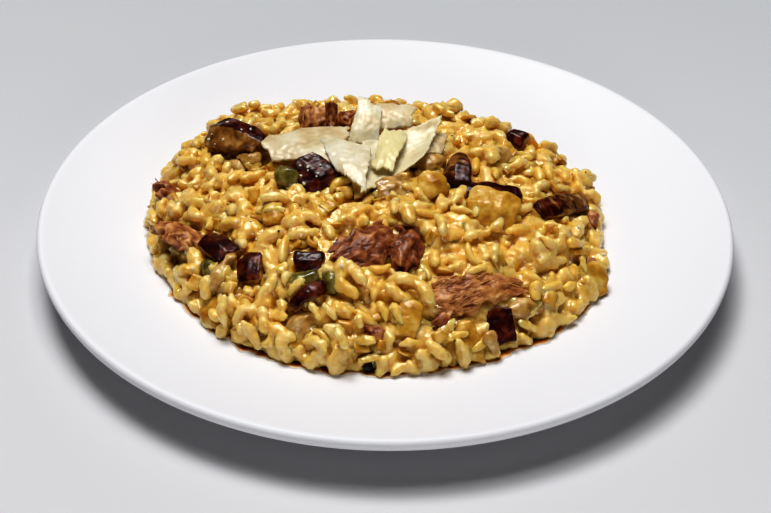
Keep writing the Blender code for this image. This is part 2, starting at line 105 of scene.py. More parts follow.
def readAttribute(tree, name):
    return addNode(tree, "ShaderNodeAttribute", {"attribute_name": name}).outputs["Fac"]


def addRamp(tree, fac, stops):
    ramp = addNode(tree, "ShaderNodeValToRGB", links={"Fac": fac})
    while len(ramp.color_ramp.elements) < len(stops):
        ramp.color_ramp.elements.new(0.5)
    for element, (place, code) in zip(ramp.color_ramp.elements, stops):
        element.position = place
        element.color = linear(code)
    return ramp.outputs["Color"]


def paint(tree, shader, fac, stops):
    tree.links.new(addRamp(tree, fac, stops), shader.inputs["Base Color"])


# Noise whose features are about this many millimetres across
def addNoise(tree, coords, size, detail):
    return addNode(tree, "ShaderNodeTexNoise", {"Scale": 1 / (size * mm), "Detail": detail},
                   {"Vector": coords}).outputs["Fac"]


# The base value with noises added to it, each with its gain, held between 0 and 1
def addMottle(tree, base, shift, *noises):
    fixed, linked = {2: shift}, {}
    for fac, gain in noises:
        node = addNode(tree, "ShaderNodeMath", {"operation": "MULTIPLY_ADD", 1: gain, **fixed},
                       {0: fac, **linked})
        fixed, linked = {}, {2: node.outputs[0]}
    return addNode(tree, "ShaderNodeMath", {"operation": "ADD", "use_clamp": True},
                   {0: base, 1: linked[2]}).outputs[0]


# Chains bumps, each given as a size, a detail, a strength and a depth, the size and the depth in millimetres.
def addBumps(tree, shader, coords, bumps, socket="Normal"):
    normal = None
    for size, detail, strength, depth in bumps:
        links = {"Height": addNoise(tree, coords, size, detail)}
        if normal:
            links["Normal"] = normal
        normal = addNode(tree, "ShaderNodeBump", {"Strength": strength, "Distance": depth * mm},
                         links).outputs["Normal"]
    tree.links.new(normal, shader.inputs[socket])


def mixColour(tree, fac, first, second):
    node = tree.nodes.new("ShaderNodeMix")
    node.data_type = "RGBA"
    for socket, value in ((node.inputs[0], fac), (node.inputs[6], first), (node.inputs[7], second)):
        if isinstance(value, bpy.types.NodeSocket):
            tree.links.new(value, socket)
        else:
            socket.default_value = value
    return node.outputs[2]


# Mesh helpers

def addObject(name, mesh, smooth=True):
    if smooth:
        mesh.shade_smooth()
    obj = bpy.data.objects.new(name, mesh)
    bpy.context.scene.collection.objects.link(obj)
    return obj


def fromPoints(name, points, faces):
    mesh = bpy.data.meshes.new(name)
    mesh.from_pydata([tuple(p) for p in points], [], faces)
    mesh.update()
    return addObject(name, mesh)


def fromBmesh(name, bm, smooth=True):
    mesh = bpy.data.meshes.new(name)
    bm.to_mesh(mesh)
    bm.free()
    return addObject(name, mesh, smooth)


# The points and faces of a small shape that is used many times
def takeShape(bm):
    points = np.array([vert.co.copy() for vert in bm.verts])
    faces = [[vert.index for vert in face.verts] for face in bm.faces]
    bm.free()
    return points, faces


# Many shapes in millimetres as one list of points in metres and one of faces
def joined(shapes):
    points, faces, count = [], [], 0
    for shape, rings in shapes:
        points.append(shape)
        faces += [[i + count for i in ring] for ring in rings]
        count += len(shape)
    return np.concatenate(points) * mm, faces


# Melts all that the object holds into one even skin, and smooths it.
def melt(obj, values):
    remesh = obj.modifiers.new("skin", "REMESH")
    remesh.mode = "VOXEL"
    remesh.voxel_size = values["voxel"] * mm
    soften = obj.modifiers.new("soften", "SMOOTH")
    soften.factor = 0.5
    soften.iterations = values["smooth"]


# Turns the modifiers into plain mesh.
def bake(obj):
    bpy.context.view_layer.update()
    graph = bpy.context.evaluated_depsgraph_get()
    mesh = bpy.data.meshes.new_from_object(obj.evaluated_get(graph))
    obj.modifiers.clear()
    obj.data = mesh
    obj.data.shade_smooth()


def place(obj, material, slot, *replaced):
    obj.data.materials.clear()
    obj.data.materials.append(material)
    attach(obj, "root")
    if replaced:
        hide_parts(*replaced)


def pointsOf(mesh, key="co"):
    flat = np.empty(len(mesh.vertices) * 3)
    mesh.vertices.foreach_get(key, flat)
    return flat.reshape(-1, 3)


def normalsOf(mesh):
    return pointsOf(mesh, "normal")


def movePoints(mesh, points):
    mesh.vertices.foreach_set("co", points.ravel())
    mesh.update()


def setAttribute(mesh, name, values):
    attribute = mesh.attributes.new(name, "FLOAT", "POINT")
    attribute.data.foreach_set("value", np.asarray(values, np.float32))


# Noise at each point; the rate is one number or one for each axis, and more is finer.
def noiseAt(points, rate, shift, side=0.0):
    a, b, c = rate if isinstance(rate, tuple) else (rate,) * 3
    offset = Vector((shift, side, 0))
    return np.array([noise.noise(Vector((x * a, y * b, z * c)) + offset) for x, y, z in points])


def waveAt(x, y, rate, layer):
    return noise.noise(Vector((x * rate, y * rate, layer)))


def smoothStep(values, low, high):
    run = np.clip((values - low) / (high - low), 0, 1)
    return run * run * (3 - 2 * run)


def treeOf(objects):
    bm = bmesh.new()
    for obj in objects:
        bm.from_mesh(obj.data)
    tree = BVHTree.FromBMesh(bm)
    bm.free()
    return tree


# Materials

riceStops = [(0.0, "#883A08"), (0.2, "#C0771A"), (0.42, "#DCA83E"), (0.64, "#E7BE62"), (1.0, "#F0DBA2")]


# Cooked rice in cheese and stock: light goes a little way in, and the wet skin glints in small specks.
def makeRice(name, gloss):
    made, tree, shader, coords = startMaterial(name, {
        "Roughness": 0.45, "Specular IOR Level": 0.2, "Coat IOR": 1.6,
        **wet(gloss, 0.07), **seeThrough(0.85, 4.0, (1.0, 0.8, 0.36))})
    patch, speck = addNoise(tree, coords, 5.0, 4.0), addNoise(tree, coords, 1.3, 3.0)
    shade = addMottle(tree, readAttribute(tree, "tint"), -0.4, (patch, 0.5), (speck, 0.3))
    paint(tree, shader, shade, riceStops)
    addBumps(tree, shader, coords, [(2.4, 3.0, 0.3, 0.4), (1.3, 3.0, 0.25, 0.2)])
    addBumps(tree, shader, coords, [(1.6, 2.0, 0.7, 0.5), (0.8, 1.0, 0.4, 0.25)], "Coat Normal")
    return made


# White glaze over a hard body: clean and bright, with a broad, weak reflection.
def makePorcelain():
    made, tree, shader, coords = startMaterial("glazedPorcelain", {
        "Base Color": linear("#E8E8EB"), "Roughness": 0.5, "Specular IOR Level": 0.3})
    addBumps(tree, shader, coords, [(30.0, 1.0, 0.1, 0.2)])
    return made


# Braised meat pulled along its fibres, paler on the ridges and darker between them and underneath: its own
# tone and torn edges, with painted highlight and painted shade.
def makeDuck():
    made, tree, shader, coords = startMaterial("braisedDuck", {
        "Roughness": 0.45, "Specular IOR Level": 0.35, **wet(0.18, 0.12),
        **seeThrough(0.15, 1.2, (1.0, 0.4, 0.25))})
    shade = addMottle(tree, readAttribute(tree, "fibre"), -0.4, (addNoise(tree, coords, 2.5, 4.0), 0.8))
    paint(tree, shader, shade, [
        (0.0, "#2A0E05"), (0.25, "#5E2A12"), (0.5, "#96582E"), (0.75, "#C68E54"), (1.0, "#E6C088")])
    addBumps(tree, shader, coords, [(1.3, 4.0, 0.8, 0.5)])
    return made


# Roasted mushroom: a wet red-black skin with fine wrinkles on one side and olive-beige flesh on the rest.
def makeMushroom():
    made, tree, shader, coords = startMaterial("roastedMushroom", {
        "Specular IOR Level": 0.25, **wet(0.25, 0.08), **seeThrough(0.1, 1.5, (1.0, 0.5, 0.2))})
    patch = addNoise(tree, coords, 3.5, 4.0)
    dark = addRamp(tree, patch, [(0.35, "#240605"), (0.52, "#46120A"), (0.72, "#7E3A1E")])
    flesh = addRamp(tree, patch, [(0.3, "#573210"), (0.5, "#8E6028"), (0.7, "#C49A5A")])
    colour = mixColour(tree, readAttribute(tree, "skin"), flesh, dark)
    tree.links.new(colour, shader.inputs["Base Color"])
    dull = addNode(tree, "ShaderNodeMapRange", {"To Min": 0.25, "To Max": 0.5}, {0: patch})
    tree.links.new(dull.outputs[0], shader.inputs["Roughness"])
    addBumps(tree, shader, coords, [(2.2, 3.0, 0.5, 0.4), (0.9, 2.0, 0.4, 0.15)])
    return made


# Shaved hard cheese: ivory, with a dry grainy face; in patches it is painted the tan of the rice beneath,
# standing in for light that passes through it.
def makeCheese():
    made, tree, shader, coords = startMaterial("shavedCheese", {
        "Roughness": 0.4, **wet(0.15, 0.2), **seeThrough(0.8, 2.0, (1.0, 0.92, 0.7))})
    patch = addNoise(tree, coords, 6.0, 4.0)
    white = addRamp(tree, patch, [(0.3, "#DCCEAE"), (0.5, "#E5D9BD"), (0.7, "#F0E8D2")])
    seen = addRamp(tree, patch, [(0.3, "#B0905A"), (0.5, "#C8AE7C"), (0.7, "#DECCA4")])
    body = mixColour(tree, readAttribute(tree, "yellow"), white, linear("#ECDC9C"))
    colour = mixColour(tree, readAttribute(tree, "clear"), body, seen)
    tree.links.new(colour, shader.inputs["Base Color"])
    addBumps(tree, shader, coords, [(2.5, 4.0, 0.4, 0.3), (0.8, 2.0, 0.3, 0.1)])
    return made


# Oil and stock on white glaze: red-brown where it is deep and only a warm tint at its edge; along the heap's
# foot it is also painted shade.
def makeOilAndShade():
    made, tree, shader, coords = startMaterial("brownOil", {"Roughness": 0.25, "Specular IOR Level": 0.3})
    shade = addMottle(tree, readAttribute(tree, "depth"), -0.2, (addNoise(tree, coords, 3.0, 3.0), 0.4))
    paint(tree, shader, shade, [
        (0.0, "#E8E8EB"), (0.2, "#EAD9C0"), (0.45, "#CF9148"), (0.75, "#8E4512"), (1.0, "#5E2408")])
    return made


# Seamless grey paper, painted paler towards the camera and darker behind: a painted falloff of light.
def makeFloor():
    made, tree, shader, coords = startMaterial("greyPaper", {"Roughness": 0.9})
    along = addNode(tree, "ShaderNodeSeparateXYZ", links={0: coords}).outputs["Y"]
    run = addNode(tree, "ShaderNodeMapRange", {"From Min": -0.25, "From Max": 0.5}, {0: along})
    paint(tree, shader, run.outputs[0], [(0.0, "#DCDBDD"), (1.0, "#B1B4B6")])
    return made


# A plain food: one patchy colour and a few sizes of bump
def makePatchy(name, settings, size, detail, stops, bumps):
    made, tree, shader, coords = startMaterial(name, settings)
    paint(tree, shader, addNoise(tree, coords, size, detail), stops)
    addBumps(tree, shader, coords, bumps)
    return made


rice, sauce = makeRice("cookedRice", 0.9), makeRice("creamySauce", 1.0)
porcelain, duck, mushroom = makePorcelain(), makeDuck(), makeMushroom()
cheese, brownOil = makeCheese(), makeOilAndShade()
# Mushroom flesh steeped in stock: beige to olive brown, moist
paleMushroom = makePatchy(
    "paleMushroom", {"Roughness": 0.34, **wet(0.35, 0.15), **seeThrough(0.3, 2.0, (1.0, 0.65, 0.3))},
    4.0, 4.0,
    [(0.3, "#8A6226"), (0.5, "#BE9450"), (0.7, "#DEC084")], [(1.6, 3.0, 0.4, 0.3)])
# Softened onion: thin, yellow and see-through, with a wet shine
onion = makePatchy(
    "softOnion", {"Roughness": 0.35, "Specular IOR Level": 0.3, **wet(0.45, 0.08),
                  **seeThrough(0.6, 2.6, (1.0, 0.7, 0.25))}, 5.0, 4.0,
    [(0.3, "#AC7422"), (0.5, "#CC9E3E"), (0.7, "#E8CC80")], [(3.0, 3.0, 0.5, 0.5), (1.1, 3.0, 0.35, 0.2)])
# Cooked green bean: olive, smooth and wet
green = makePatchy(
    "cookedGreen", {"Roughness": 0.28, **wet(0.4, 0.12), **seeThrough(0.2, 1.5, (0.8, 1.0, 0.2))}, 3.0, 3.0,
    [(0.3, "#4C4016"), (0.5, "#75682C"), (0.72, "#A39656")], [(1.2, 3.0, 0.4, 0.25)])
# Dried berry: black and wrinkled
pepper = makePatchy(
    "blackPepper", {"Roughness": 0.5}, 0.8, 3.0, [(0.4, "#0B0808"), (0.7, "#2A1C16")], [(0.8, 3.0, 0.6, 0.3)])
print("materials made")

# Plate: the same form as the CAD plate, turned with many more steps. Profile points are radius and height.

plate = {
    "steps": 192, "wellRadius": 75.0, "wellHeight": 9.0, "lipRadius": 121.5, "lipHeight": 17.6, "stops": 24,
    "rim": [(122.5, 17.95), (123.4, 18.1), (124.1, 17.9), (124.7, 17.4), (124.95, 16.8), (125.0, 16.2),
            (124.8, 15.2), (124.4, 14.4), (123.6, 13.6), (122.6, 13.0)],
    "underside": [(105.0, 8.6), (82.0, 4.6), (77.5, 3.4), (76.0, 0.5), (75.4, 0.0)],
    "footInner": [(72.6, 0.0), (72.0, 0.5), (71.0, 3.2), (0.0, 3.8)],
}


def plateTop(radius):
    run = (radius - plate["wellRadius"]) / (plate["lipRadius"] - plate["wellRadius"])
    return plate["wellHeight"] + (plate["lipHeight"] - plate["wellHeight"]) * min(max(run, 0.0), 1.0) ** 2


def plateUnder(x, y):
    return plateTop(math.hypot(x, y))


def makePlate():
    reach = plate["lipRadius"] - plate["wellRadius"]
    radii = [plate["wellRadius"] + reach * i / plate["stops"] for i in range(plate["stops"] + 1)]
    profile = [(0.0, plate["wellHeight"])] + [(r, plateTop(r)) for r in radii]
    profile += plate["rim"] + plate["underside"] + plate["footInner"]
    bm = bmesh.new()
    verts = [bm.verts.new((r * mm, 0, z * mm)) for r, z in profile]
    edges = [bm.edges.new(pair) for pair in zip(verts, verts[1:])]
    bmesh.ops.spin(bm, geom=verts + edges, cent=(0, 0, 0), axis=(0, 0, 1), angle=fullTurn,
                   steps=plate["steps"], use_merge=True)
    bmesh.ops.remove_doubles(bm, verts=bm.verts, dist=1e-6)
    bmesh.ops.recalc_face_normals(bm, faces=bm.faces)
    place(fromBmesh("turned_plate", bm), porcelain, "porcelain", "plate")


makePlate()
print("plate made")

# Heap: the outline and the rise of the CAD heap. A place on it is p and q, the way along its surface.

heap = {
    "centre": (-4.0, -2.4), "height": 26.0, "shoulder": 3.0, "drop": 0.6, "clear": 0.3,
    "radii": [81, 83, 79.3, 76.7, 76.7, 77.6, 87.9, 84.3, 81.8, 77.9, 77.9, 78.5, 78.9, 80, 82.3, 84.7],
    "lump": 0.8, "waves": [(0.16, 0.05, 0.4), (-0.07, 0.19, 2.1), (0.23, -0.12, 4.0), (0.04, 0.31, 1.2)],
}


# Radius of the outline in this direction, on a smooth curve through the sixteen radii
def heapRadius(angle):
    radii = heap["radii"]
    spot = angle / fullTurn * len(radii)
    first, share = math.floor(spot), spot - math.floor(spot)
    a, b, c, d = (radii[(first + i) % len(radii)] for i in (-1, 0, 1, 2))
    return b + share * ((c - a) / 2 + share * (a - 2.5 * b + 2 * c - 0.5 * d
                                               + share * (-0.5 * a + 1.5 * b - 1.5 * c + 0.5 * d)))


def heapProfile(rho):
    return max(1 - rho ** heap["shoulder"], 0.0) ** heap["drop"]


arcRun = np.linspace(0, 1, 400)
arcRise = np.array([heapProfile(rho) for rho in arcRun])
meanRadius = sum(heap["radii"]) / len(heap["radii"])
arcSteps = np.hypot(np.diff(arcRun) * meanRadius, np.diff(arcRise) * heap["height"])
arc = np.concatenate([[0], np.cumsum(arcSteps)])


def outward(angle, out):
    return heap["centre"][0] + out * math.cos(angle), heap["centre"][1] + out * math.sin(angle)


# The point at this place on the heap, lifted off it, in millimetres
def onHeap(p, q, lift):
    along, angle = min(math.hypot(p, q), arc[-1]), math.atan2(q, p)
    rho = float(np.interp(along, arc, arcRun))
    ahead = min(rho + 0.01, 1.0)
    out = (ahead - rho + 1e-6) * meanRadius
    drop = (heapProfile(rho) - heapProfile(ahead)) * heap["height"]
    slant = math.hypot(out, drop)
    x, y = outward(angle, rho * heapRadius(angle) + lift * drop / slant)
    z = plate["wellHeight"] + heap["clear"] + heap["height"] * heapProfile(rho) + lift * out / slant
    return Vector((x, y, max(z, plateUnder(x, y) + heap["clear"])))


# A random place on the heap that keeps this far from its foot
def randomSpot(rng, margin):
    reach, angle = (arc[-1] - margin) * math.sqrt(rng.random()), rng.random() * fullTurn
    return reach * math.cos(angle), reach * math.sin(angle)


# The rice may press into the soft pieces and keeps off the firm ones.
softKinds = ("onion", "green", "duck_front", "duck_bit", "duck_under", "mushroom_pale", "mushroom_round",
             "mushroom_strip", "mushroom_stem", "mushroom_under")
toppings = [node for name, node in sorted(nodes.items()) if name not in ("plate", "rice_heap")]
toppingTree = treeOf(toppings)
softTree = treeOf([node for node in toppings if node["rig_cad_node"].startswith(softKinds)])
firmTree = treeOf([node for node in toppings if not node["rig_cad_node"].startswith(softKinds)])
farOff = 8.0  # beyond this the side of the surface is not looked at


# Distance in millimetres to the pieces, negative inside one
def gapTo(tree, point):
    spot, normal, _, gap = tree.find_nearest(point * mm)
    inside = gap <= farOff * mm and (point * mm - spot).dot(normal) <= 0
    return -gap / mm if inside else gap / mm


# Deep hollows beside the larger pieces, as a middle, a radius and a depth, and small pits all over
hollows = [((28.6, -67.0), 6.5, 4.5), ((2.4, -49.1), 5.0, 4.0), ((15.9, -68.6), 4.0, 3.0),
           ((-51.4, 7.7), 5.0, 3.0), ((41.3, -33.7), 5.5, 3.5), ((-40.9, -54.5), 5.0, 3.0),
           ((-28.6, -47.3), 5.0, 3.0)]
pits = {"count": 55, "radius": (2.4, 4.2), "depth": (2.5, 5.0), "spacing": 11.0, "margin": 9.0, "seed": 5}


def addPits():
    rng = random.Random(pits["seed"])
    for _ in range(pits["count"] * 20):
        if len(hollows) > pits["count"]:
            break
        spot = onHeap(*randomSpot(rng, pits["margin"]), 0.0)
        if min(math.hypot(spot.x - x, spot.y - y) for (x, y), _, _ in hollows) > pits["spacing"]:
            hollows.append(((spot.x, spot.y), rng.uniform(*pits["radius"]), rng.uniform(*pits["depth"])))


addPits()

# What the spoon leaves: waves as height, rate and layer; then from what gap to a piece a dip or a rise
# starts, over how far it grows to its full size, and the least share of it that stays
spoon = {"waves": ((5.0, 0.055, 3.1), (4.6, 0.115, 7.7)), "dip": (1.0, 5.0, 0.0), "rise": (-3.0, 7.0, 0.2),
         "steep": 1.5, "edge": 10.0}


def relief(p, q):
    spot = onHeap(p, q, 0.0)
    wide = sum(height * waveAt(p, q, rate, layer) for height, rate, layer in spoon["waves"])
    start, ease, least = spoon["dip" if wide < 0 else "rise"]
    gap = gapTo(toppingTree if wide < 0 else firmTree, spot)
    wide *= min(max((gap - start) / ease, least), 1.0)
    wide += heap["lump"] * sum(math.sin(a * p + b * q + c) for a, b, c in heap["waves"]) / 2
    for (x, y), radius, depth in hollows:
        away = math.hypot(spot.x - x, spot.y - y)
        if away < radius * 2:
            wide -= depth * math.exp(-(away / radius) ** 2 * spoon["steep"])
    return wide * min(1.0, (arc[-1] - math.hypot(p, q)) / spoon["edge"])


# Grains: blunt is how full their ends are, loose the share that lies on the sauce; the others melt into it.
grains = {
    "plump": {"length": 9.2, "width": 4.3, "blunt": 2.6, "shapes": 9, "often": 5},
    "slender": {"length": 10.6, "width": 3.8, "blunt": 2.4, "shapes": 9, "often": 4},
    "broken": {"length": 6.0, "width": 4.0, "blunt": 2.8, "shapes": 7, "often": 2},
    "around": 14, "rings": 11, "bend": (-0.3, 2.0), "pinch": (-0.03, 0.05), "skew": (-0.12, 0.12),
    "pinchAt": 0.25, "pinchWide": 0.3, "fullest": 1.6, "uneven": ((0.16, 1.2), (0.05, 2.4)), "flat": 0.88,
    "size": (0.74, 1.14), "ownMost": 1.16, "half": 2.9, "margin": 0.6, "sunk": 0.44, "loose": 0.07,
    "tint": 0.55, "ownTint": 0.12, "crestTint": 0.03, "seed": 23,
}
grainKinds = ("plump", "slender", "broken")
# The upper layer is placed first and the lower one fills the gaps. Firm and soft are the least gaps to the
# firm and to the soft pieces, and lift is the height over the relief, all in millimetres.
layers = [
    {"lift": (-1.2, 1.0), "spacing": 3.4, "firm": 2.3, "soft": -0.4, "tilt": 0.35, "most": 760,
     "trials": 24000},
    {"lift": (-2.4, -1.2), "spacing": 3.0, "firm": 1.2, "soft": -1.0, "tilt": 0.3, "most": 700,
     "trials": 16000},
]
# Grains seen one by one: their two ends and how far the middle rises
ownGrains = [
    ((-13.9, -52.0, 34.1), (-5.1, -62.4, 30.8), 0.3), ((0.5, -57.6, 31.1), (12.2, -59.4, 29.8), 2.4),
    ((8.8, -56.9, 31.1), (17.1, -66.4, 26.0), 1.6), ((-68.7, -27.0, 22.8), (-65.7, -38.0, 20.6), 0.3),
    ((-72.6, -33.8, 16.1), (-66.7, -44.7, 15.3), 0.3), ((-38.4, -68.1, 18.7), (-28.9, -74.1, 16.6), 0.3),
    ((-24.8, -66.6, 27.5), (-20.6, -72.4, 24.2), 0.2), ((-20.4, -67.7, 27.6), (-15.4, -72.7, 24.9), 0.3),
    ((27.3, -52.7, 29.5), (34.5, -48.5, 29.5), 0.4), ((23.0, -21.2, 36.1), (28.1, -11.1, 36.1), 0.2),
    ((13.9, -39.4, 33.7), (18.7, -33.0, 34.2), 0.2), ((26.5, -38.2, 33.1), (34.2, -33.0, 32.9), 0.3),
    ((-75.0, -5.4, 23.4), (-63.4, -9.8, 29.0), 0.8), ((-77.0, 29.6, 18.7), (-69.3, 26.4, 24.9), 0.3),
    ((-33.6, -26.3, 34.4), (-21.4, -31.5, 35.0), 1.8), ((-33.1, -37.9, 33.0), (-22.2, -36.1, 34.4), 0.4),
    ((-21.0, -31.0, 35.1), (-17.7, -40.2, 34.1), 0.4), ((-14.5, -30.2, 35.4), (-4.0, -23.5, 36.0), 0.4),
    ((41.1, -32.1, 31.9), (50.1, -26.4, 30.6), 0.3), ((54.9, -35.7, 27.2), (64.3, -27.5, 24.4), 0.6),
    ((46.9, -61.6, 17.8), (52.9, -54.4, 19.9), 0.3), ((17.2, -74.5, 19.0), (23.8, -68.4, 22.7), 0.3),
    ((4.8, -77.2, 18.4), (12.0, -75.9, 18.8), 0.3), ((-8.9, -80.4, 13.1), (-1.1, -79.6, 15.2), 0.3),
    ((2.6, -65.6, 27.2), (6.0, -72.5, 22.7), 0.3), ((-2.0, -65.0, 27.1), (1.4, -71.6, 23.1), 0.3),
]


# One grain about the origin along X, in millimetres: blunt, bent and uneven
def grainShape(kind, rng, bend=None):
    values = grains[kind]
    bm = bmesh.new()
    bmesh.ops.create_uvsphere(bm, u_segments=grains["around"], v_segments=grains["rings"], radius=1.0)
    rise, pinch, skew = (rng.uniform(*grains[key]) for key in ("bend", "pinch", "skew"))
    if bend is not None:
        rise = -bend
    offset = Vector((rng.uniform(0, 50), 0, 0))
    for vert in bm.verts:
        t = vert.co.z
        girth = math.sqrt(max(1 - abs(t) ** values["blunt"], 0.0)) / math.sqrt(max(1 - t * t, 1e-6))
        waist = math.exp(-((t - grains["pinchAt"]) / grains["pinchWide"]) ** 2)
        girth = min(girth, grains["fullest"]) * (1 + skew * t - pinch * waist)
        uneven = 1.0
        for height, rate in grains["uneven"]:
            uneven += height * noise.noise(vert.co * rate + offset)
        y, z = vert.co.x * girth * uneven, vert.co.y * girth * uneven * grains["flat"]
        vert.co = (t * values["length"] / 2, y * values["width"] / 2,
                   z * values["width"] / 2 + rise * (t * t - 0.4))
    return takeShape(bm)


# A placed grain is its middle, three axes, its kind, its size and its bend.
def placeOwnGrains():
    placed = []
    for first, last, bend in ownGrains:
        first, last = Vector(first), Vector(last)
        middle, along = (first + last) / 2, (last - first).normalized()
        across = Vector((0, 0, 1)).cross(along).normalized()
        size = (last - first).length / grains["slender"]["length"]
        placed.append((middle, along, across, along.cross(across), "own", min(size, grains["ownMost"]), bend))
    return placed


# The two ends and the middle of a grain's core
def lineOf(middle, along, half):
    return [middle + along * half * share for share in (-1, 0, 1)]


def scatterGrains(placed):
    rng = random.Random(grains["seed"])
    for layer in layers:
        lines = np.array([lineOf(middle, along, grains["half"]) for middle, along, *_ in placed])
        made = 0
        for _ in range(layer["trials"]):
            if made == layer["most"]:
                break
            (p, q), heading = randomSpot(rng, grains["margin"]), rng.random() * fullTurn
            lift = rng.uniform(*layer["lift"]) + relief(p, q)
            tilt = layer["tilt"] * rng.uniform(-1, 1)
            kind = rng.choices(grainKinds, [grains[kind]["often"] for kind in grainKinds])[0]
            size = rng.uniform(*grains["size"])
            middle = onHeap(p, q, lift)
            ahead = onHeap(p + math.cos(heading), q + math.sin(heading), lift + tilt)
            out = (onHeap(p, q, lift + 1) - middle).normalized()
            along = (ahead - middle).normalized()
            across = out.cross(along).normalized()
            line = lineOf(middle, along, (grains[kind]["length"] - grains[kind]["width"]) / 2 * size)
            spread = lines[:, :, None] - np.array(line)[None, None]
            if np.linalg.norm(spread, axis=3).min() < layer["spacing"]:
                continue
            if any(gapTo(firmTree, point) < layer["firm"] for point in line):
                continue
            if any(gapTo(softTree, point) < layer["soft"] for point in line):
                continue
            low = grains[kind]["width"] * size * grains["sunk"]
            sunk = max(plateUnder(point.x, point.y) + low - point.z for point in line)
            if sunk > 0:
                middle = middle + Vector((0, 0, sunk))
            lines = np.concatenate([lines, np.array(line)[None]])
            placed.append((middle, along, across, along.cross(across), kind, size, None))
            made += 1
    return placed


# Grains that lie on the plate along the foot of the heap and make its edge ragged
rimGrains = {"count": 130, "spacing": 4.2, "reach": (-3.2, 0.4), "size": (0.82, 1.05), "sunk": (0.42, 0.75),
             "turn": 0.9, "rise": (-0.05, 0.25), "half": 2.6, "gap": 1.2, "seed": 8}


def scatterRim(placed):
    rng = random.Random(rimGrains["seed"])
    spots = []
    for _ in range(rimGrains["count"] * 6):
        if len(spots) == rimGrains["count"]:
            break
        angle = rng.random() * fullTurn
        x, y = outward(angle, heapRadius(angle) + rng.uniform(*rimGrains["reach"]))
        kind, size = rng.choice(grainKinds + ("broken",)), rng.uniform(*rimGrains["size"])
        z = plateUnder(x, y) + grains[kind]["width"] * size * rng.uniform(*rimGrains["sunk"])
        middle = Vector((x, y, z))
        heading = angle + math.pi / 2 + rng.uniform(-rimGrains["turn"], rimGrains["turn"])
        along = Vector((math.cos(heading), math.sin(heading), rng.uniform(*rimGrains["rise"]))).normalized()
        if spots and min((middle - spot).length for spot in spots) < rimGrains["spacing"]:
            continue
        line = lineOf(middle, along, rimGrains["half"])
        if any(gapTo(toppingTree, point) < rimGrains["gap"] for point in line):
            continue
        spots.append(middle)
        across = Vector((0, 0, 1)).cross(along).normalized()
        placed.append((middle, along, across, along.cross(across), kind, size, None))
    return placed


def shapeGrains(placed):
    rng = random.Random(grains["seed"] + 1)
    shapes = {kind: [grainShape(kind, rng) for _ in range(grains[kind]["shapes"])] for kind in grainKinds}
    shaped = []
    for middle, along, across, out, kind, size, bend in placed:
        own = kind == "own"
        shape, faces = grainShape("slender", rng, bend) if own else rng.choice(shapes[kind])
        spin = Matrix.Rotation(0.0 if own else rng.uniform(0, fullTurn), 3, along)
        turned = shape @ (np.array([along, spin @ across, spin @ out]) * size)
        loose = not own and rng.random() < grains["loose"]
        shaped.append({"kind": "slender" if own else kind, "loose": loose, "shade": rng.random(),
                       "middle": middle, "end": Vector(turned[0]), "points": turned + np.array(middle),
                       "faces": faces, "crest": turned @ np.array(out)})
    return shaped


# The grains that stand clear of the sauce, one piece for each kind
def buildGrains(shaped):
    for kind in grainKinds:
        loose = [grain for grain in shaped if grain["kind"] == kind and grain["loose"]]
        made = joined((grain["points"], grain["faces"]) for grain in loose)
        obj = fromPoints("rice_" + kind + "_grains", *made)
        # Painted light and shade: each grain is paler on the side that faces out of the heap and darker on
        # its inner side.
        tints = [grains["tint"] + grains["ownTint"] * grain["shade"] + grains["crestTint"] * grain["crest"]
                 for grain in loose]
        setAttribute(obj.data, "tint", np.clip(np.concatenate(tints), 0, 1))
        place(obj, rice, "risotto_rice")
        print("rice", kind, len(loose))


# Sauce: the core and the grains melted into one creamy skin. Pools and bumps are height, rate and shift. Its
# tint is painted lighter on crests and darker in creases, painted light and painted shade.
bed = {"depth": 2.6, "uneven": (2.4, 0.16, 1.3), "rings": 60, "around": 150, "foot": (0.97, 0.8),
       "under": 0.9, "flat": 1.0, "voxel": 0.62, "smooth": 3, "swell": 0.1, "most": 190000,
       "level": 30, "low": -0.5, "high": 1.2, "blend": 2.8,
       "pools": ((1.0, 0.09, 40), (0.6, 0.24, 60)), "poolEdge": (-0.35, 0.45),
       "bumps": ((0.6, 0.42, 9), (0.36, 0.95, 21)), "near": 0.6,
       "tint": 0.57, "fineTint": 0.05, "creaseTint": 0.14, "wideTint": 0.05, "ownTint": 0.12,
       "finePasses": 14, "widePasses": 70}


# The points after this many rounds of moving each to the middle of its neighbours
def softened(mesh, passes):
    soft, edges = pointsOf(mesh), np.empty(len(mesh.edges) * 2, np.int64)
    mesh.edges.foreach_get("vertices", edges)
    edges = edges.reshape(-1, 2)
    degree = np.maximum(np.bincount(edges.ravel(), minlength=len(soft)), 1)
    for _ in range(passes):
        total = np.empty_like(soft)
        for axis in range(3):
            total[:, axis] = np.bincount(edges[:, 0], soft[edges[:, 1], axis], len(soft))
            total[:, axis] += np.bincount(edges[:, 1], soft[edges[:, 0], axis], len(soft))
        soft = total / degree[:, None]
    return soft


# Height in millimetres above the smoothed surface: positive on crests, negative in creases
def crestOf(mesh, passes):
    return ((pointsOf(mesh) - softened(mesh, passes)) * normalsOf(mesh)).sum(1) / mm


# Fills the creases up to the level of the sauce, which stands higher in some patches than in others.
def drown(mesh):
    points, soft = pointsOf(mesh), softened(mesh, bed["level"])
    movePoints(mesh, soft)
    out = normalsOf(mesh)
    pools = sum(height * noiseAt(soft / mm, rate, shift) for height, rate, shift in bed["pools"])
    level = bed["low"] + (bed["high"] - bed["low"]) * smoothStep(pools, *bed["poolEdge"])
    height = ((points - soft) * out).sum(1) / mm
    filled = np.logaddexp(height * bed["blend"], level * bed["blend"]) / bed["blend"]
    movePoints(mesh, points + out * ((filled - height) * mm)[:, None])


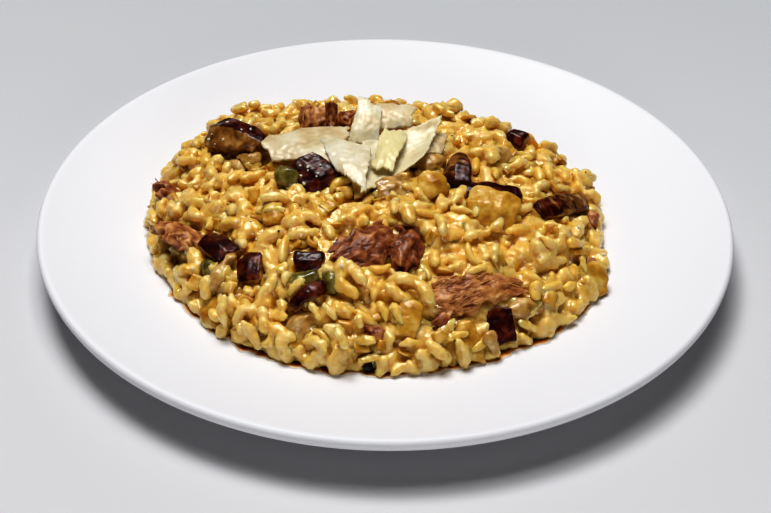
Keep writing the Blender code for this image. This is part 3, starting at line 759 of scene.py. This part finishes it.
# The mound under the grains, closed with a flat foot on the plate, in millimetres
def coreMesh():
    rings, around = bed["rings"], bed["around"]
    high, rate, layer = bed["uneven"]

    def top(p, q):
        return onHeap(p, q, relief(p, q) - bed["depth"] + high * waveAt(p, q, rate, layer))

    def band(start, end):
        return [(start + j, end + j, end + (j + 1) % around, start + (j + 1) % around) for j in range(around)]

    angles = [fullTurn * j / around for j in range(around)]
    points, faces = [top(0, 0)], [(0, 1 + j, 1 + (j + 1) % around) for j in range(around)]
    for i in range(1, rings + 1):
        reach = arc[-1] * i / rings
        points += [top(reach * math.cos(angle), reach * math.sin(angle)) for angle in angles]
    for share in bed["foot"]:
        for angle in angles:
            x, y = outward(angle, share * heapRadius(angle))
            points.append(Vector((x, y, plateUnder(x, y) + heap["clear"])))
    for i in range(rings + 1):
        faces += band(1 + i * around, 1 + (i + 1) * around)
    faces.append([len(points) - around + j for j in range(around)])
    return np.array(points), faces


# Swaps the many small faces that lie flat on the plate for one wide face.
def closeUnderside(obj):
    bm = bmesh.new()
    bm.from_mesh(obj.data)
    flat = []
    for face in bm.faces:
        x, y, z = face.calc_center_median() / mm
        right, back = x - heap["centre"][0], y - heap["centre"][1]
        inside = math.hypot(right, back) < bed["under"] * heapRadius(math.atan2(back, right))
        if inside and face.normal.z < -0.9 and z < plateUnder(x, y) + bed["flat"]:
            flat.append(face)
    bmesh.ops.delete(bm, geom=flat, context="FACES")
    bmesh.ops.holes_fill(bm, edges=[edge for edge in bm.edges if edge.is_boundary], sides=0)
    bm.to_mesh(obj.data)
    bm.free()


# The own shade of the nearest grain, for each point
def shadesFrom(points, shaped):
    tree = KDTree(len(shaped) * 3)
    for i, grain in enumerate(shaped):
        for point in lineOf(grain["middle"], grain["end"], bed["near"]):
            tree.insert(point, i)
    tree.balance()
    return np.array([shaped[tree.find(point)[1]]["shade"] for point in points])


def buildSauce(shaped):
    fused = [(grain["points"], grain["faces"]) for grain in shaped if not grain["loose"]]
    obj = fromPoints("creamy_sauce_bed", *joined([coreMesh()] + fused))
    melt(obj, bed)
    swell = obj.modifiers.new("swell", "DISPLACE")
    swell.strength = bed["swell"] * mm
    swell.mid_level = 0.0
    bake(obj)
    closeUnderside(obj)
    mesh = obj.data
    mesh.shade_smooth()
    drown(mesh)
    points = pointsOf(mesh)
    uneven = sum(height * noiseAt(points / mm, rate, shift) for height, rate, shift in bed["bumps"])
    movePoints(mesh, points + normalsOf(mesh) * (uneven * mm)[:, None])
    fineCrest, wideCrest = crestOf(mesh, bed["finePasses"]), crestOf(mesh, bed["widePasses"])
    # Painted light and shade: paler on the fine and wide crests, darker in the creases and darkest in the
    # deep ones; the nearest grain's own tone is real.
    tint = bed["tint"] + bed["fineTint"] * fineCrest + bed["creaseTint"] * np.minimum(fineCrest, 0)
    tint += bed["wideTint"] * wideCrest + bed["ownTint"] * shadesFrom(points / mm, shaped)
    setAttribute(mesh, "tint", np.clip(tint, 0, 1))
    mesh.calc_loop_triangles()
    thin = obj.modifiers.new("thin", "DECIMATE")
    thin.ratio = min(bed["most"] / len(mesh.loop_triangles), 1.0)
    bake(obj)
    place(obj, sauce, "risotto_rice", "rice_heap")
    print("sauce", len(obj.data.polygons))


# Oil and stock that have run out from under the rice: a brown film that thins out over the plate, and also
# painted shade along the heap's foot
oil = {"steps": 360, "shares": (0.0, 0.25, 0.5, 0.75, 1.0), "inside": 4.0, "spread": 1.8, "uneven": 2.4,
       "waves": ((1.0, 1), (0.6, 3)), "rate": 9.0, "front": 0.5, "least": 0.3, "low": 0.01, "film": 0.05,
       "high": 0.3, "fade": 3.0}


def buildOilAndShade():
    steps, rows = oil["steps"], len(oil["shares"])
    points, faces, shades = [], [], []
    for lower in (False, True):
        for share in oil["shares"]:
            for j in range(steps):
                angle = fullTurn * j / steps
                spot = Vector((math.cos(angle) * oil["rate"], math.sin(angle) * oil["rate"], 2.0))
                wander = sum(height * noise.noise(spot * rate) for height, rate in oil["waves"])
                # Wider at the front, where the film also stands for the shade under the heap's overhang:
                # painted shade.
                wide = oil["spread"] + oil["uneven"] * wander - oil["front"] * math.sin(angle)
                wide = oil["inside"] + max(wide, oil["least"])
                x, y = outward(angle, heapRadius(angle) - oil["inside"] + wide * share)
                high = oil["low"] if lower else oil["film"] + oil["high"] * (1 - share) ** 0.5
                points.append(Vector((x, y, plateUnder(x, y) + high)))
                shades.append(min((wide - wide * share) / oil["fade"], 1.0))
    loop = list(range(rows)) + list(range(2 * rows - 1, rows - 1, -1))
    for a, b in zip(loop, loop[1:] + loop[:1]):
        faces += [(a * steps + j, b * steps + j, b * steps + (j + 1) % steps, a * steps + (j + 1) % steps)
                  for j in range(steps)]
    obj = fromPoints("brown_oil_film", np.array(points) * mm, faces)
    setAttribute(obj.data, "depth", shades)
    place(obj, brownOil, "risotto_rice")
    print("oil", len(faces))


# Diced onion scattered through the rice, lying and standing at all angles
dice = {"count": 170, "size": (3.0, 6.4), "thick": (1.2, 2.0), "spacing": 6.5, "lift": (-1.5, 0.5),
        "tilt": 0.6, "lean": 0.6, "margin": 1.5, "gap": 2.4, "clear": 1.8, "slant": 0.28, "cup": 0.9,
        "bumpy": 0.35, "rate": 1.4, "cuts": 3, "shapes": 9, "seed": 31}


# One small flat piece with slanted sides and soft corners, in millimetres
def diceShape(rng):
    bm = bmesh.new()
    bmesh.ops.create_cube(bm, size=2.0)
    for vert in bm.verts:
        vert.co += Vector([rng.uniform(-dice["slant"], dice["slant"]) for _ in range(3)])
    bmesh.ops.subdivide_edges(bm, edges=bm.edges[:], cuts=dice["cuts"], use_grid_fill=True)
    bmesh.ops.smooth_vert(bm, verts=bm.verts, factor=0.5, use_axis_x=True, use_axis_y=True, use_axis_z=True)
    length, width, thick = (rng.uniform(*dice[key]) for key in ("size", "size", "thick"))
    cup, offset = rng.uniform(-dice["cup"], dice["cup"]), Vector((rng.uniform(0, 60), 0, 0))
    for vert in bm.verts:
        x, y, z = vert.co
        bumpy = dice["bumpy"] * noise.noise(vert.co * dice["rate"] + offset)
        vert.co = (x * length / 2, y * width / 2, z * thick / 2 + cup * (x * x - 0.4) + bumpy)
    return takeShape(bm)


def buildDice():
    rng = random.Random(dice["seed"])
    shapes = [diceShape(rng) for _ in range(dice["shapes"])]
    made, spots = [], []
    for _ in range(dice["count"] * 12):
        if len(spots) == dice["count"]:
            break
        p, q = randomSpot(rng, dice["margin"])
        middle = onHeap(p, q, rng.uniform(*dice["lift"]) + relief(p, q))
        if spots and min((middle - spot).length for spot in spots) < dice["spacing"]:
            continue
        if gapTo(firmTree, middle) < dice["gap"] or middle.z < plateUnder(middle.x, middle.y) + dice["clear"]:
            continue
        spots.append(middle)
        out = (onHeap(p, q, 2.0) - onHeap(p, q, 0.0)).normalized()
        out += Vector([rng.gauss(0, dice["tilt"]) for _ in range(3)]) * dice["lean"]
        turned = out.to_track_quat("Z", "Y").to_matrix() @ Matrix.Rotation(rng.uniform(0, 6.28), 3, "Z")
        shape, faces = rng.choice(shapes)
        made.append((shape @ np.array(turned).T + np.array(middle), faces))
    place(fromPoints("onion_dice", *joined(made)), onion, "onion")
    print("dice", len(spots))


shapedGrains = shapeGrains(scatterRim(scatterGrains(placeOwnGrains())))
print("grains placed", len(shapedGrains))
buildGrains(shapedGrains)
buildSauce(shapedGrains)
buildDice()
buildOilAndShade()

# Toppings: each starts as the CAD piece, melted into an even mesh and then worked.

kinds = {
    "duck": dict(voxel=0.42, smooth=4, swell=0.0, ragged=3.4, fray=0.5, rough=0.7, material=duck,
                 slot="duck_meat"),
    "mushroom": dict(voxel=0.45, smooth=3, swell=0.1, ragged=1.4, fray=0.22, rough=0.38, material=mushroom,
                     slot="dark_mushroom"),
    "pale": dict(voxel=0.45, smooth=9, swell=0.3, ragged=2.0, fray=0.25, rough=0.7, material=paleMushroom,
                 slot="pale_mushroom"),
    "green": dict(voxel=0.4, smooth=8, swell=0.3, ragged=1.0, fray=0.2, rough=0.6, material=green,
                  slot="green_pieces"),
    "onion": dict(voxel=0.45, smooth=12, swell=0.3, ragged=1.6, fray=0.25, rough=0.35, material=onion,
                  slot="onion"),
    "peppercorn": dict(voxel=0.2, smooth=2, swell=0.1, ragged=0.0, fray=0.2, rough=0.7, material=pepper,
                       slot="peppercorn"),
}
# Bumps as height and rate; a duck piece has them drawn out along its fibres. Its colour is painted lighter on
# bumps and crests, a painted highlight, and darker underneath, painted shade.
worked = {"duck": ((1.2, (0.2, 0.36, 0.36)), (0.4, (0.5, 1.3, 1.3))), "other": ((1.1, 0.22), (0.4, 0.7)),
          "crestLight": 0.26, "crestPasses": 20, "bumpLight": 0.1, "underDark": 0.5, "under": (0.5, 3.0),
          "skinEdge": (0.3, 0.45), "skinUneven": 0.25, "skinRate": 0.5}
paleNames = ["mushroom_stem_left", "mushroom_stemmed", "mushroom_strip_front", "mushroom_pale_strip",
             "mushroom_pale_round", "mushroom_round_middle", "mushroom_under_flake", "mushroom_strip_low",
             "mushroom_button"]
# Where the skin of a mushroom piece faces, where it isn't the piece's broad upper side
skinSides = {"mushroom_cap_back": (0.5, 0.45, 0.75), "mushroom_quarter_back": (0.1, -0.85, 0.3),
             "mushroom_slice_right": (0.0, -0.2, 1.0), "mushroom_edge_right": (-0.3, -0.6, 0.5)}
# How light the meat of each duck piece is
duckShades = {"duck_slab_left": 0.45, "duck_slab_right": 0.36, "duck_shreds_right": 0.62, "duck_top": 0.58,
              "duck_shreds_left": 0.62, "duck_front": 0.45, "duck_under_shreds": 0.3}
usualShade = 0.45
# Pieces that show larger than their solid: size, and shift along their thin axis in millimetres
grown = {"green_top": (1.5, 2.2), "green_cross_a": (1.15, 0.4), "green_cross_b": (1.15, 0.4),
         "mushroom_button": (1.05, 0.5)}


# Middle, long, wide and thin axes of a piece, the thin one pointing up and the long one right
def pieceAxes(points):
    middle = points.mean(0)
    _, vectors = np.linalg.eigh(np.cov((points - middle).T))
    thin, wide, along = vectors[:, 0], vectors[:, 1], vectors[:, 2]
    along = along if along[0] > 0 else -along
    thin = thin if thin[2] > 0 else -thin
    return middle, along, wide, thin


# A number of its own for each piece, so that no two have the same bumps
def seedOf(name):
    return sum(ord(letter) * (i + 1) for i, letter in enumerate(name)) % 97


def workPiece(name, node):
    kind = "pale" if name in paleNames else name.split("_")[0]
    values, seed = kinds[kind], seedOf(name)
    obj = addObject(name + "_worked", node.data.copy(), smooth=False)
    melt(obj, values)
    bake(obj)
    mesh = obj.data
    points, normals = pointsOf(mesh), normalsOf(mesh)
    middle, along, wide, thin = pieceAxes(points)
    size, shift = grown.get(name, (1.0, 0.0))
    points = middle + (points - middle) * size + thin * shift * mm
    local = (points - middle) @ np.array([along, wide, thin]).T / mm
    # The two ends are torn unevenly across the width, and the two sides unevenly along the length.
    share, fray = local / np.abs(local).max(0), values["fray"]
    swing = values["ragged"] * noiseAt(local, (0.05, fray, 0.4), seed) * share[:, 0]
    sway = values["ragged"] * noiseAt(local, (fray * 0.6, 0.1, 0.3), seed) * share[:, 1]
    points = points + (np.outer(swing, along) + np.outer(sway, wide)) * mm
    bumps = worked["duck" if kind == "duck" else "other"]
    height = sum(high * noiseAt(local, rate, seed) for high, rate in bumps)
    movePoints(mesh, points + normals * ((height * values["rough"] + values["swell"]) * mm)[:, None])
    if kind == "duck":
        # Painted highlight on the bumps and crests, which also gives the pale torn edges, and painted shade
        # on the underside; the piece's own lightness is real tone.
        light = duckShades.get(name, usualShade) + worked["bumpLight"] * height
        light += worked["crestLight"] * crestOf(mesh, worked["crestPasses"])
        light -= worked["underDark"] * smoothStep(-local[:, 2], *worked["under"])
        setAttribute(mesh, "fibre", np.clip(light, 0, 1))
    elif kind == "mushroom":
        side = np.array(skinSides.get(name, thin), float)
        facing = normals @ (side / np.linalg.norm(side))
        facing += worked["skinUneven"] * noiseAt(local, worked["skinRate"], seed)
        setAttribute(mesh, "skin", smoothStep(facing, *worked["skinEdge"]))
    place(obj, values["material"], values["slot"], name)


# Single strands on the torn duck pieces: how many to the square millimetre, and how far they stray
strands = {"perArea": 0.09, "length": (4.0, 10.0), "radius": (0.12, 0.34), "sides": 5, "stray": 0.32,
           "lift": (-0.5, 0.3), "hold": 1.6, "spare": 2, "least": 4, "facing": -0.3, "thinEnd": 0.25,
           "flat": 0.75, "shade": (0.06, 0.05), "seed": 77,
           "on": ("duck_shreds_right", "duck_shreds_left", "duck_top", "duck_under_shreds", "duck_left_edge")}


# A thin uneven rod along a path, in millimetres
def strandShape(path, radius, reference):
    path = np.array(path)
    tangent = np.gradient(path, axis=0)
    tangent /= np.maximum(np.linalg.norm(tangent, axis=1), 1e-6)[:, None]
    side = np.cross(tangent, reference)
    side /= np.maximum(np.linalg.norm(side, axis=1), 1e-6)[:, None]
    rise = np.cross(side, tangent)
    share, thinEnd = np.linspace(0, 1, len(path)), strands["thinEnd"]
    girth = radius * (thinEnd + (1 - thinEnd) * np.sin(np.pi * np.clip(share * 0.9 + 0.05, 0, 1)) ** 0.5)
    sides, steps = strands["sides"], len(path)
    points, faces = [], []
    for i in range(sides):
        angle = fullTurn * i / sides
        flat = side * math.cos(angle) + rise * strands["flat"] * math.sin(angle)
        points.append(path + flat * girth[:, None])
        a, b = i * steps, (i + 1) % sides * steps
        faces += [(a + k, a + k + 1, b + k + 1, b + k) for k in range(steps - 1)]
    faces.append([i * steps for i in range(sides)])
    faces.append([i * steps + steps - 1 for i in reversed(range(sides))])
    return np.concatenate(points), faces


# Strands that follow the upper side of a duck piece along its length and stick out past its ends
def combStrands(name, node, rng):
    mesh, tree, made = node.data, treeOf([node]), []
    points = pointsOf(mesh)
    _, along, wide, thin = pieceAxes(points)
    mesh.calc_loop_triangles()
    corners = np.array([[points[i] for i in triangle.vertices] for triangle in mesh.loop_triangles])
    cross = np.cross(corners[:, 1] - corners[:, 0], corners[:, 2] - corners[:, 0])
    areas = np.linalg.norm(cross, axis=1) / 2
    facing = (cross @ thin) / np.maximum(2 * areas, 1e-12)
    areas = np.where(facing > strands["facing"], areas, 0)
    for _ in range(int(areas.sum() / mm ** 2 * strands["perArea"])):
        corner = corners[rng.choices(range(len(corners)), areas)[0]]
        a, b = sorted((rng.random(), rng.random()))
        spot = Vector(corner[0] * a + corner[1] * (b - a) + corner[2] * (1 - b)) / mm
        stray = rng.gauss(0, strands["stray"])
        heading = Vector(along * math.cos(stray) + wide * math.sin(stray))
        radius, length = rng.uniform(*strands["radius"]), rng.uniform(*strands["length"])
        lift = rng.uniform(*strands["lift"]) * radius
        steps = max(int(length), strands["least"])
        spot -= heading * length / 2
        path, spare = [], 0
        for _ in range(steps):
            near, normal, _, gap = tree.find_nearest(spot * mm)
            if gap / mm < strands["hold"]:
                spot = near / mm + normal * lift
            else:
                spare += 1
                if spare > strands["spare"]:
                    if len(path) >= strands["least"]:
                        break
                    path, spare = [], 0
            path.append(tuple(spot))
            spot = spot + heading * length / steps
        if len(path) >= strands["least"]:
            shade = duckShades.get(name, usualShade) + rng.gauss(*strands["shade"])
            made.append((strandShape(path, radius, thin), min(max(shade, 0), 1)))
    return made


def buildStrands():
    rng = random.Random(strands["seed"])
    made = []
    for node in toppings:
        if node["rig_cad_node"] in strands["on"]:
            made += combStrands(node["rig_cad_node"], node, rng)
    obj = fromPoints("duck_strands", *joined(shape for shape, _ in made))
    shades = [np.full(len(points), shade) for (points, _), shade in made]
    setAttribute(obj.data, "fibre", np.concatenate(shades))
    place(obj, duck, "duck_meat")
    print("strands", len(made))


# Cheese shavings: four corners, rise of the middle along and across, how yellow and how see-through they are
flakes = {
    "parmesan_left": (((-41.2, 2.0, 36.8), (-18.2, -2.4, 38.8), (-13.8, 20.0, 41.0), (-45.0, 15.4, 38.6)),
                      1.2, 1.0, 0.05, 0.5),
    "parmesan_centre": (((-24.4, 10.4, 41.6), (-17.7, -7.0, 40.0), (-7.0, -17.6, 38.8), (-5.6, 4.6, 42.0)),
                        1.4, 0.8, 0.0, 0.1),
    "parmesan_back": (((-13.8, 8.6, 40.4), (-2.8, 9.8, 41.2), (-1.9, 22.2, 47.6), (-10.2, 25.4, 50.0)),
                      0.6, 1.4, 0.1, 0.15),
    "parmesan_top": (((-6.0, 15.8, 41.2), (8.8, 17.6, 43.2), (10.4, 27.6, 44.8), (-4.0, 26.8, 46.4)),
                     1.0, 1.2, 0.1, 0.25),
    "parmesan_right": (((-9.0, -18.4, 38.6), (13.6, 1.0, 42.0), (20.0, 19.4, 46.6), (-7.2, 9.4, 42.2)),
                       -1.6, -1.8, 0.2, 0.1),
    "parmesan_inner": (((-5.6, -4.6, 40.6), (2.4, -8.4, 41.0), (7.4, 11.6, 42.8), (-1.0, 15.0, 43.2)),
                       0.8, 0.6, 0.6, 0.0),
    "parmesan_small": (((12.0, 6.2, 38.8), (19.8, 6.8, 38.2), (22.0, 17.2, 38.8), (13.4, 18.0, 40.0)),
                       0.6, 0.8, 0.1, 0.6),
}
# Crisp ribbons of duck skin that stand up behind the cheese: four corners, rises and how light they are
ribbons = {
    "duck_crisp": (((-22.4, 20.6, 37.4), (-18.4, 20.2, 37.4), (-18.0, 27.0, 45.8), (-22.6, 27.8, 46.6)),
                   1.6, -2.2, 0.42),
    "duck_crisp_curl": (((-18.8, 22.0, 37.6), (-13.2, 20.2, 37.2), (-11.6, 26.4, 43.8), (-17.6, 25.2, 43.6)),
                        -1.8, 2.4, 0.5),
}
# The sheet of a shaving or a ribbon: tears as rate and size, wave and ripple as height and rate
sheet = {"columns": 44, "rows": 36, "thickness": 0.75,
         "tears": ((1.1, 0.14), (3.6, 0.09), (9.0, 0.06), (20.0, 0.035)), "wave": (1.3, 0.12),
         "ripple": (0.3, 0.5), "patchy": 0.5, "stainRate": 0.14, "streakRate": (1.1, 1.1, 0.35)}


# A torn, curled sheet laid between its four corners
def tornSheet(name, corners, bend, cup):
    a, b, c, d = (Vector(corner) for corner in corners)
    normal = (b - a).cross(d - a).normalized()
    offset, (wave, waveRate), (ripple, rippleRate) = seedOf(name) * 1.7, sheet["wave"], sheet["ripple"]
    bm = bmesh.new()
    bmesh.ops.create_grid(bm, x_segments=sheet["columns"], y_segments=sheet["rows"], size=1.0)

    def tear(share, side):
        return sum(size * noise.noise(Vector((share * rate, side * 5.0, offset + rate)))
                   for rate, size in sheet["tears"])

    for vert in bm.verts:
        u, v = vert.co.x, vert.co.y
        x = u * (1 + tear(v, math.copysign(1, u)) * abs(u) ** 2)
        y = v * (1 + tear(u, math.copysign(2, v)) * abs(v) ** 2)
        s, t = (x + 1) / 2, (y + 1) / 2
        spot = (a * (1 - s) + b * s) * (1 - t) + (d * (1 - s) + c * s) * t
        rise = bend * (1 - u * u) + cup * (1 - v * v)
        rise += wave * max(abs(u), abs(v)) * waveAt(spot.x, spot.y, waveRate, offset)
        rise += ripple * waveAt(spot.x, spot.y, rippleRate, offset)
        vert.co = (spot + normal * rise) * mm
    bmesh.ops.solidify(bm, geom=bm.faces[:], thickness=sheet["thickness"] * mm)
    bmesh.ops.recalc_face_normals(bm, faces=bm.faces)
    obj = fromBmesh(name + "_worked", bm)
    return obj, pointsOf(obj.data) / mm, offset


def buildFlakes():
    for name, (corners, bend, cup, yellow, clear) in flakes.items():
        obj, points, offset = tornSheet(name, corners, bend, cup)
        # Painted see-through: patches painted the colour of the rice beneath the thin cheese.
        riceSeenThrough = clear + sheet["patchy"] * noiseAt(points, sheet["stainRate"], offset, 5)
        setAttribute(obj.data, "yellow", np.full(len(points), yellow))
        setAttribute(obj.data, "clear", np.clip(riceSeenThrough, 0, 1))
        place(obj, cheese, "hard_cheese", name)


def buildRibbons():
    for name, (corners, bend, cup, light) in ribbons.items():
        obj, points, offset = tornSheet(name, corners, bend, cup)
        streak = light + sheet["patchy"] * noiseAt(points, sheet["streakRate"], offset)
        setAttribute(obj.data, "fibre", np.clip(streak, 0, 1))
        place(obj, duck, "duck_meat", *([name] if name in nodes else []))


buildFlakes()
buildRibbons()
for node in toppings:
    if node["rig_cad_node"] not in flakes and node["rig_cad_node"] not in ribbons:
        workPiece(node["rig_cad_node"], node)
buildStrands()

# Crumbs of cheese and specks of ground pepper on the rice; dense is how many more lie on a piece.

crumbs = {
    "cheese_crumbs": {"count": 90, "size": (0.35, 0.8), "flat": 0.7, "material": cheese,
                      "slot": "hard_cheese", "seed": 3,
                      "dense": (("mushroom_square_top", 34), ("mushroom_cap_back", 8))},
    "pepper_specks": {"count": 26, "size": (0.3, 0.55), "flat": 0.8, "material": pepper,
                      "slot": "peppercorn", "seed": 4, "dense": ()},
}
crumb = {"margin": 8.0, "aboveRice": 12.0, "abovePiece": 6.0, "long": 1.3, "wide": 0.9, "sunk": 0.25,
         "least": 0.75, "rough": 0.5, "rate": 1.4, "yellow": 0.15}
riceTree = treeOf([obj for obj in bpy.data.objects if obj.name.endswith(("_grains", "_bed"))])


def buildCrumbs(name):
    values = crumbs[name]
    rng = random.Random(values["seed"])
    bm = bmesh.new()
    bmesh.ops.create_icosphere(bm, subdivisions=2, radius=1.0)
    shape, faces = takeShape(bm)
    spots = [(onHeap(*randomSpot(rng, crumb["margin"]), crumb["aboveRice"]), riceTree)
             for _ in range(values["count"])]
    for piece, count in values["dense"]:
        body = bpy.data.objects[piece + "_worked"]
        corners, own = pointsOf(body.data) / mm, treeOf([body])
        low, high = corners.min(0), corners.max(0)
        top = high[2] + crumb["abovePiece"]
        spots += [(Vector((rng.uniform(low[0], high[0]), rng.uniform(low[1], high[1]), top)), own)
                  for _ in range(count)]
    made = []
    for spot, tree in spots:
        hit, normal, _, _ = tree.ray_cast(spot * mm, Vector((0, 0, -1)))
        if hit is None:
            continue
        size = rng.uniform(*values["size"])
        spin = Matrix.Rotation(rng.uniform(0, 6.28), 3, normal) @ normal.to_track_quat("Z", "Y").to_matrix()
        offset = Vector((rng.uniform(0, 60), 0, 0))
        rough = np.array([noise.noise(Vector(point) * crumb["rate"] + offset) for point in shape])
        rough = crumb["least"] + crumb["rough"] * rough
        body = shape * rough[:, None] * np.array([crumb["long"], crumb["wide"], values["flat"]]) * size
        made.append((body @ np.array(spin).T + np.array(hit / mm + normal * size * crumb["sunk"]), faces))
    obj = fromPoints(name, *joined(made))
    if values["material"] is cheese:
        setAttribute(obj.data, "yellow", np.full(len(obj.data.vertices), crumb["yellow"]))
        setAttribute(obj.data, "clear", np.zeros(len(obj.data.vertices)))
    place(obj, values["material"], values["slot"])


for name in crumbs:
    buildCrumbs(name)
print("toppings made", len(toppings))

# Studio: grey paper, a wide soft light above and behind, a small one for the glints, and a weak low fill.
# Each light is its place, what it points at, its size and its power.

studio = {
    "key": ((-0.1, 0.34, 1.94), (0, 0, 0), 1.1, 21.0), "spark": ((-0.4, 0.55, 1.84), (0, 0, 0), 0.6, 10.0),
    "fill": ((0.2, -1.2, 0.22), (0, 0, 0.02), 0.5, 2.8), "paper": 3.0,
    "world": 0.03, "gamma": 0.92, "look": "High Contrast",
}


def addLight(name):
    spot, target, size, power = studio[name]
    data = bpy.data.lights.new(name, "AREA")
    data.shape = "SQUARE"
    data.size = size
    data.energy = power
    obj = bpy.data.objects.new(name, data)
    obj.location = spot
    obj.rotation_euler = (Vector(target) - Vector(spot)).to_track_quat("-Z", "Y").to_euler()
    bpy.context.scene.collection.objects.link(obj)


bm = bmesh.new()
bmesh.ops.create_grid(bm, x_segments=1, y_segments=1, size=studio["paper"])
floor = fromBmesh("paper_floor", bm, smooth=False)
floor.data.materials.append(makeFloor())
for name in ("key", "spark", "fill"):
    addLight(name)
world = bpy.data.worlds.new("studioWorld")
world.use_nodes = True
world.node_tree.nodes["Background"].inputs["Color"].default_value = linear("#F2F4F8")
world.node_tree.nodes["Background"].inputs["Strength"].default_value = studio["world"]
bpy.context.scene.world = world
bpy.context.scene.view_settings.view_transform = "Standard"
bpy.context.scene.view_settings.look = studio["look"]
bpy.context.scene.view_settings.gamma = studio["gamma"]

# Camera: a short telephoto, 36 degrees above the table

camera = {"lens": 85.0, "sensor": 36.0, "elevation": 36.4429, "distance": 0.66654,
          "target": (0.00022915, -0.0040635, 0.0), "roll": 0.8657}


def addCamera():
    data = bpy.data.cameras.new("camera")
    data.lens = camera["lens"]
    data.sensor_width = camera["sensor"]
    data.clip_start = 0.01
    obj = bpy.data.objects.new("camera", data)
    height, roll = math.radians(camera["elevation"]), math.radians(camera["roll"])
    back = Vector((0, -math.cos(height), math.sin(height)))
    right = Vector((1, 0, 0))
    up = back.cross(right)
    rolled = right * math.cos(roll) + up * math.sin(roll)
    lifted = up * math.cos(roll) - right * math.sin(roll)
    matrix = Matrix((rolled, lifted, back)).transposed().to_4x4()
    matrix.translation = Vector(camera["target"]) + back * camera["distance"]
    obj.matrix_world = matrix
    bpy.context.scene.collection.objects.link(obj)
    bpy.context.scene.camera = obj


addCamera()
print("scene made")
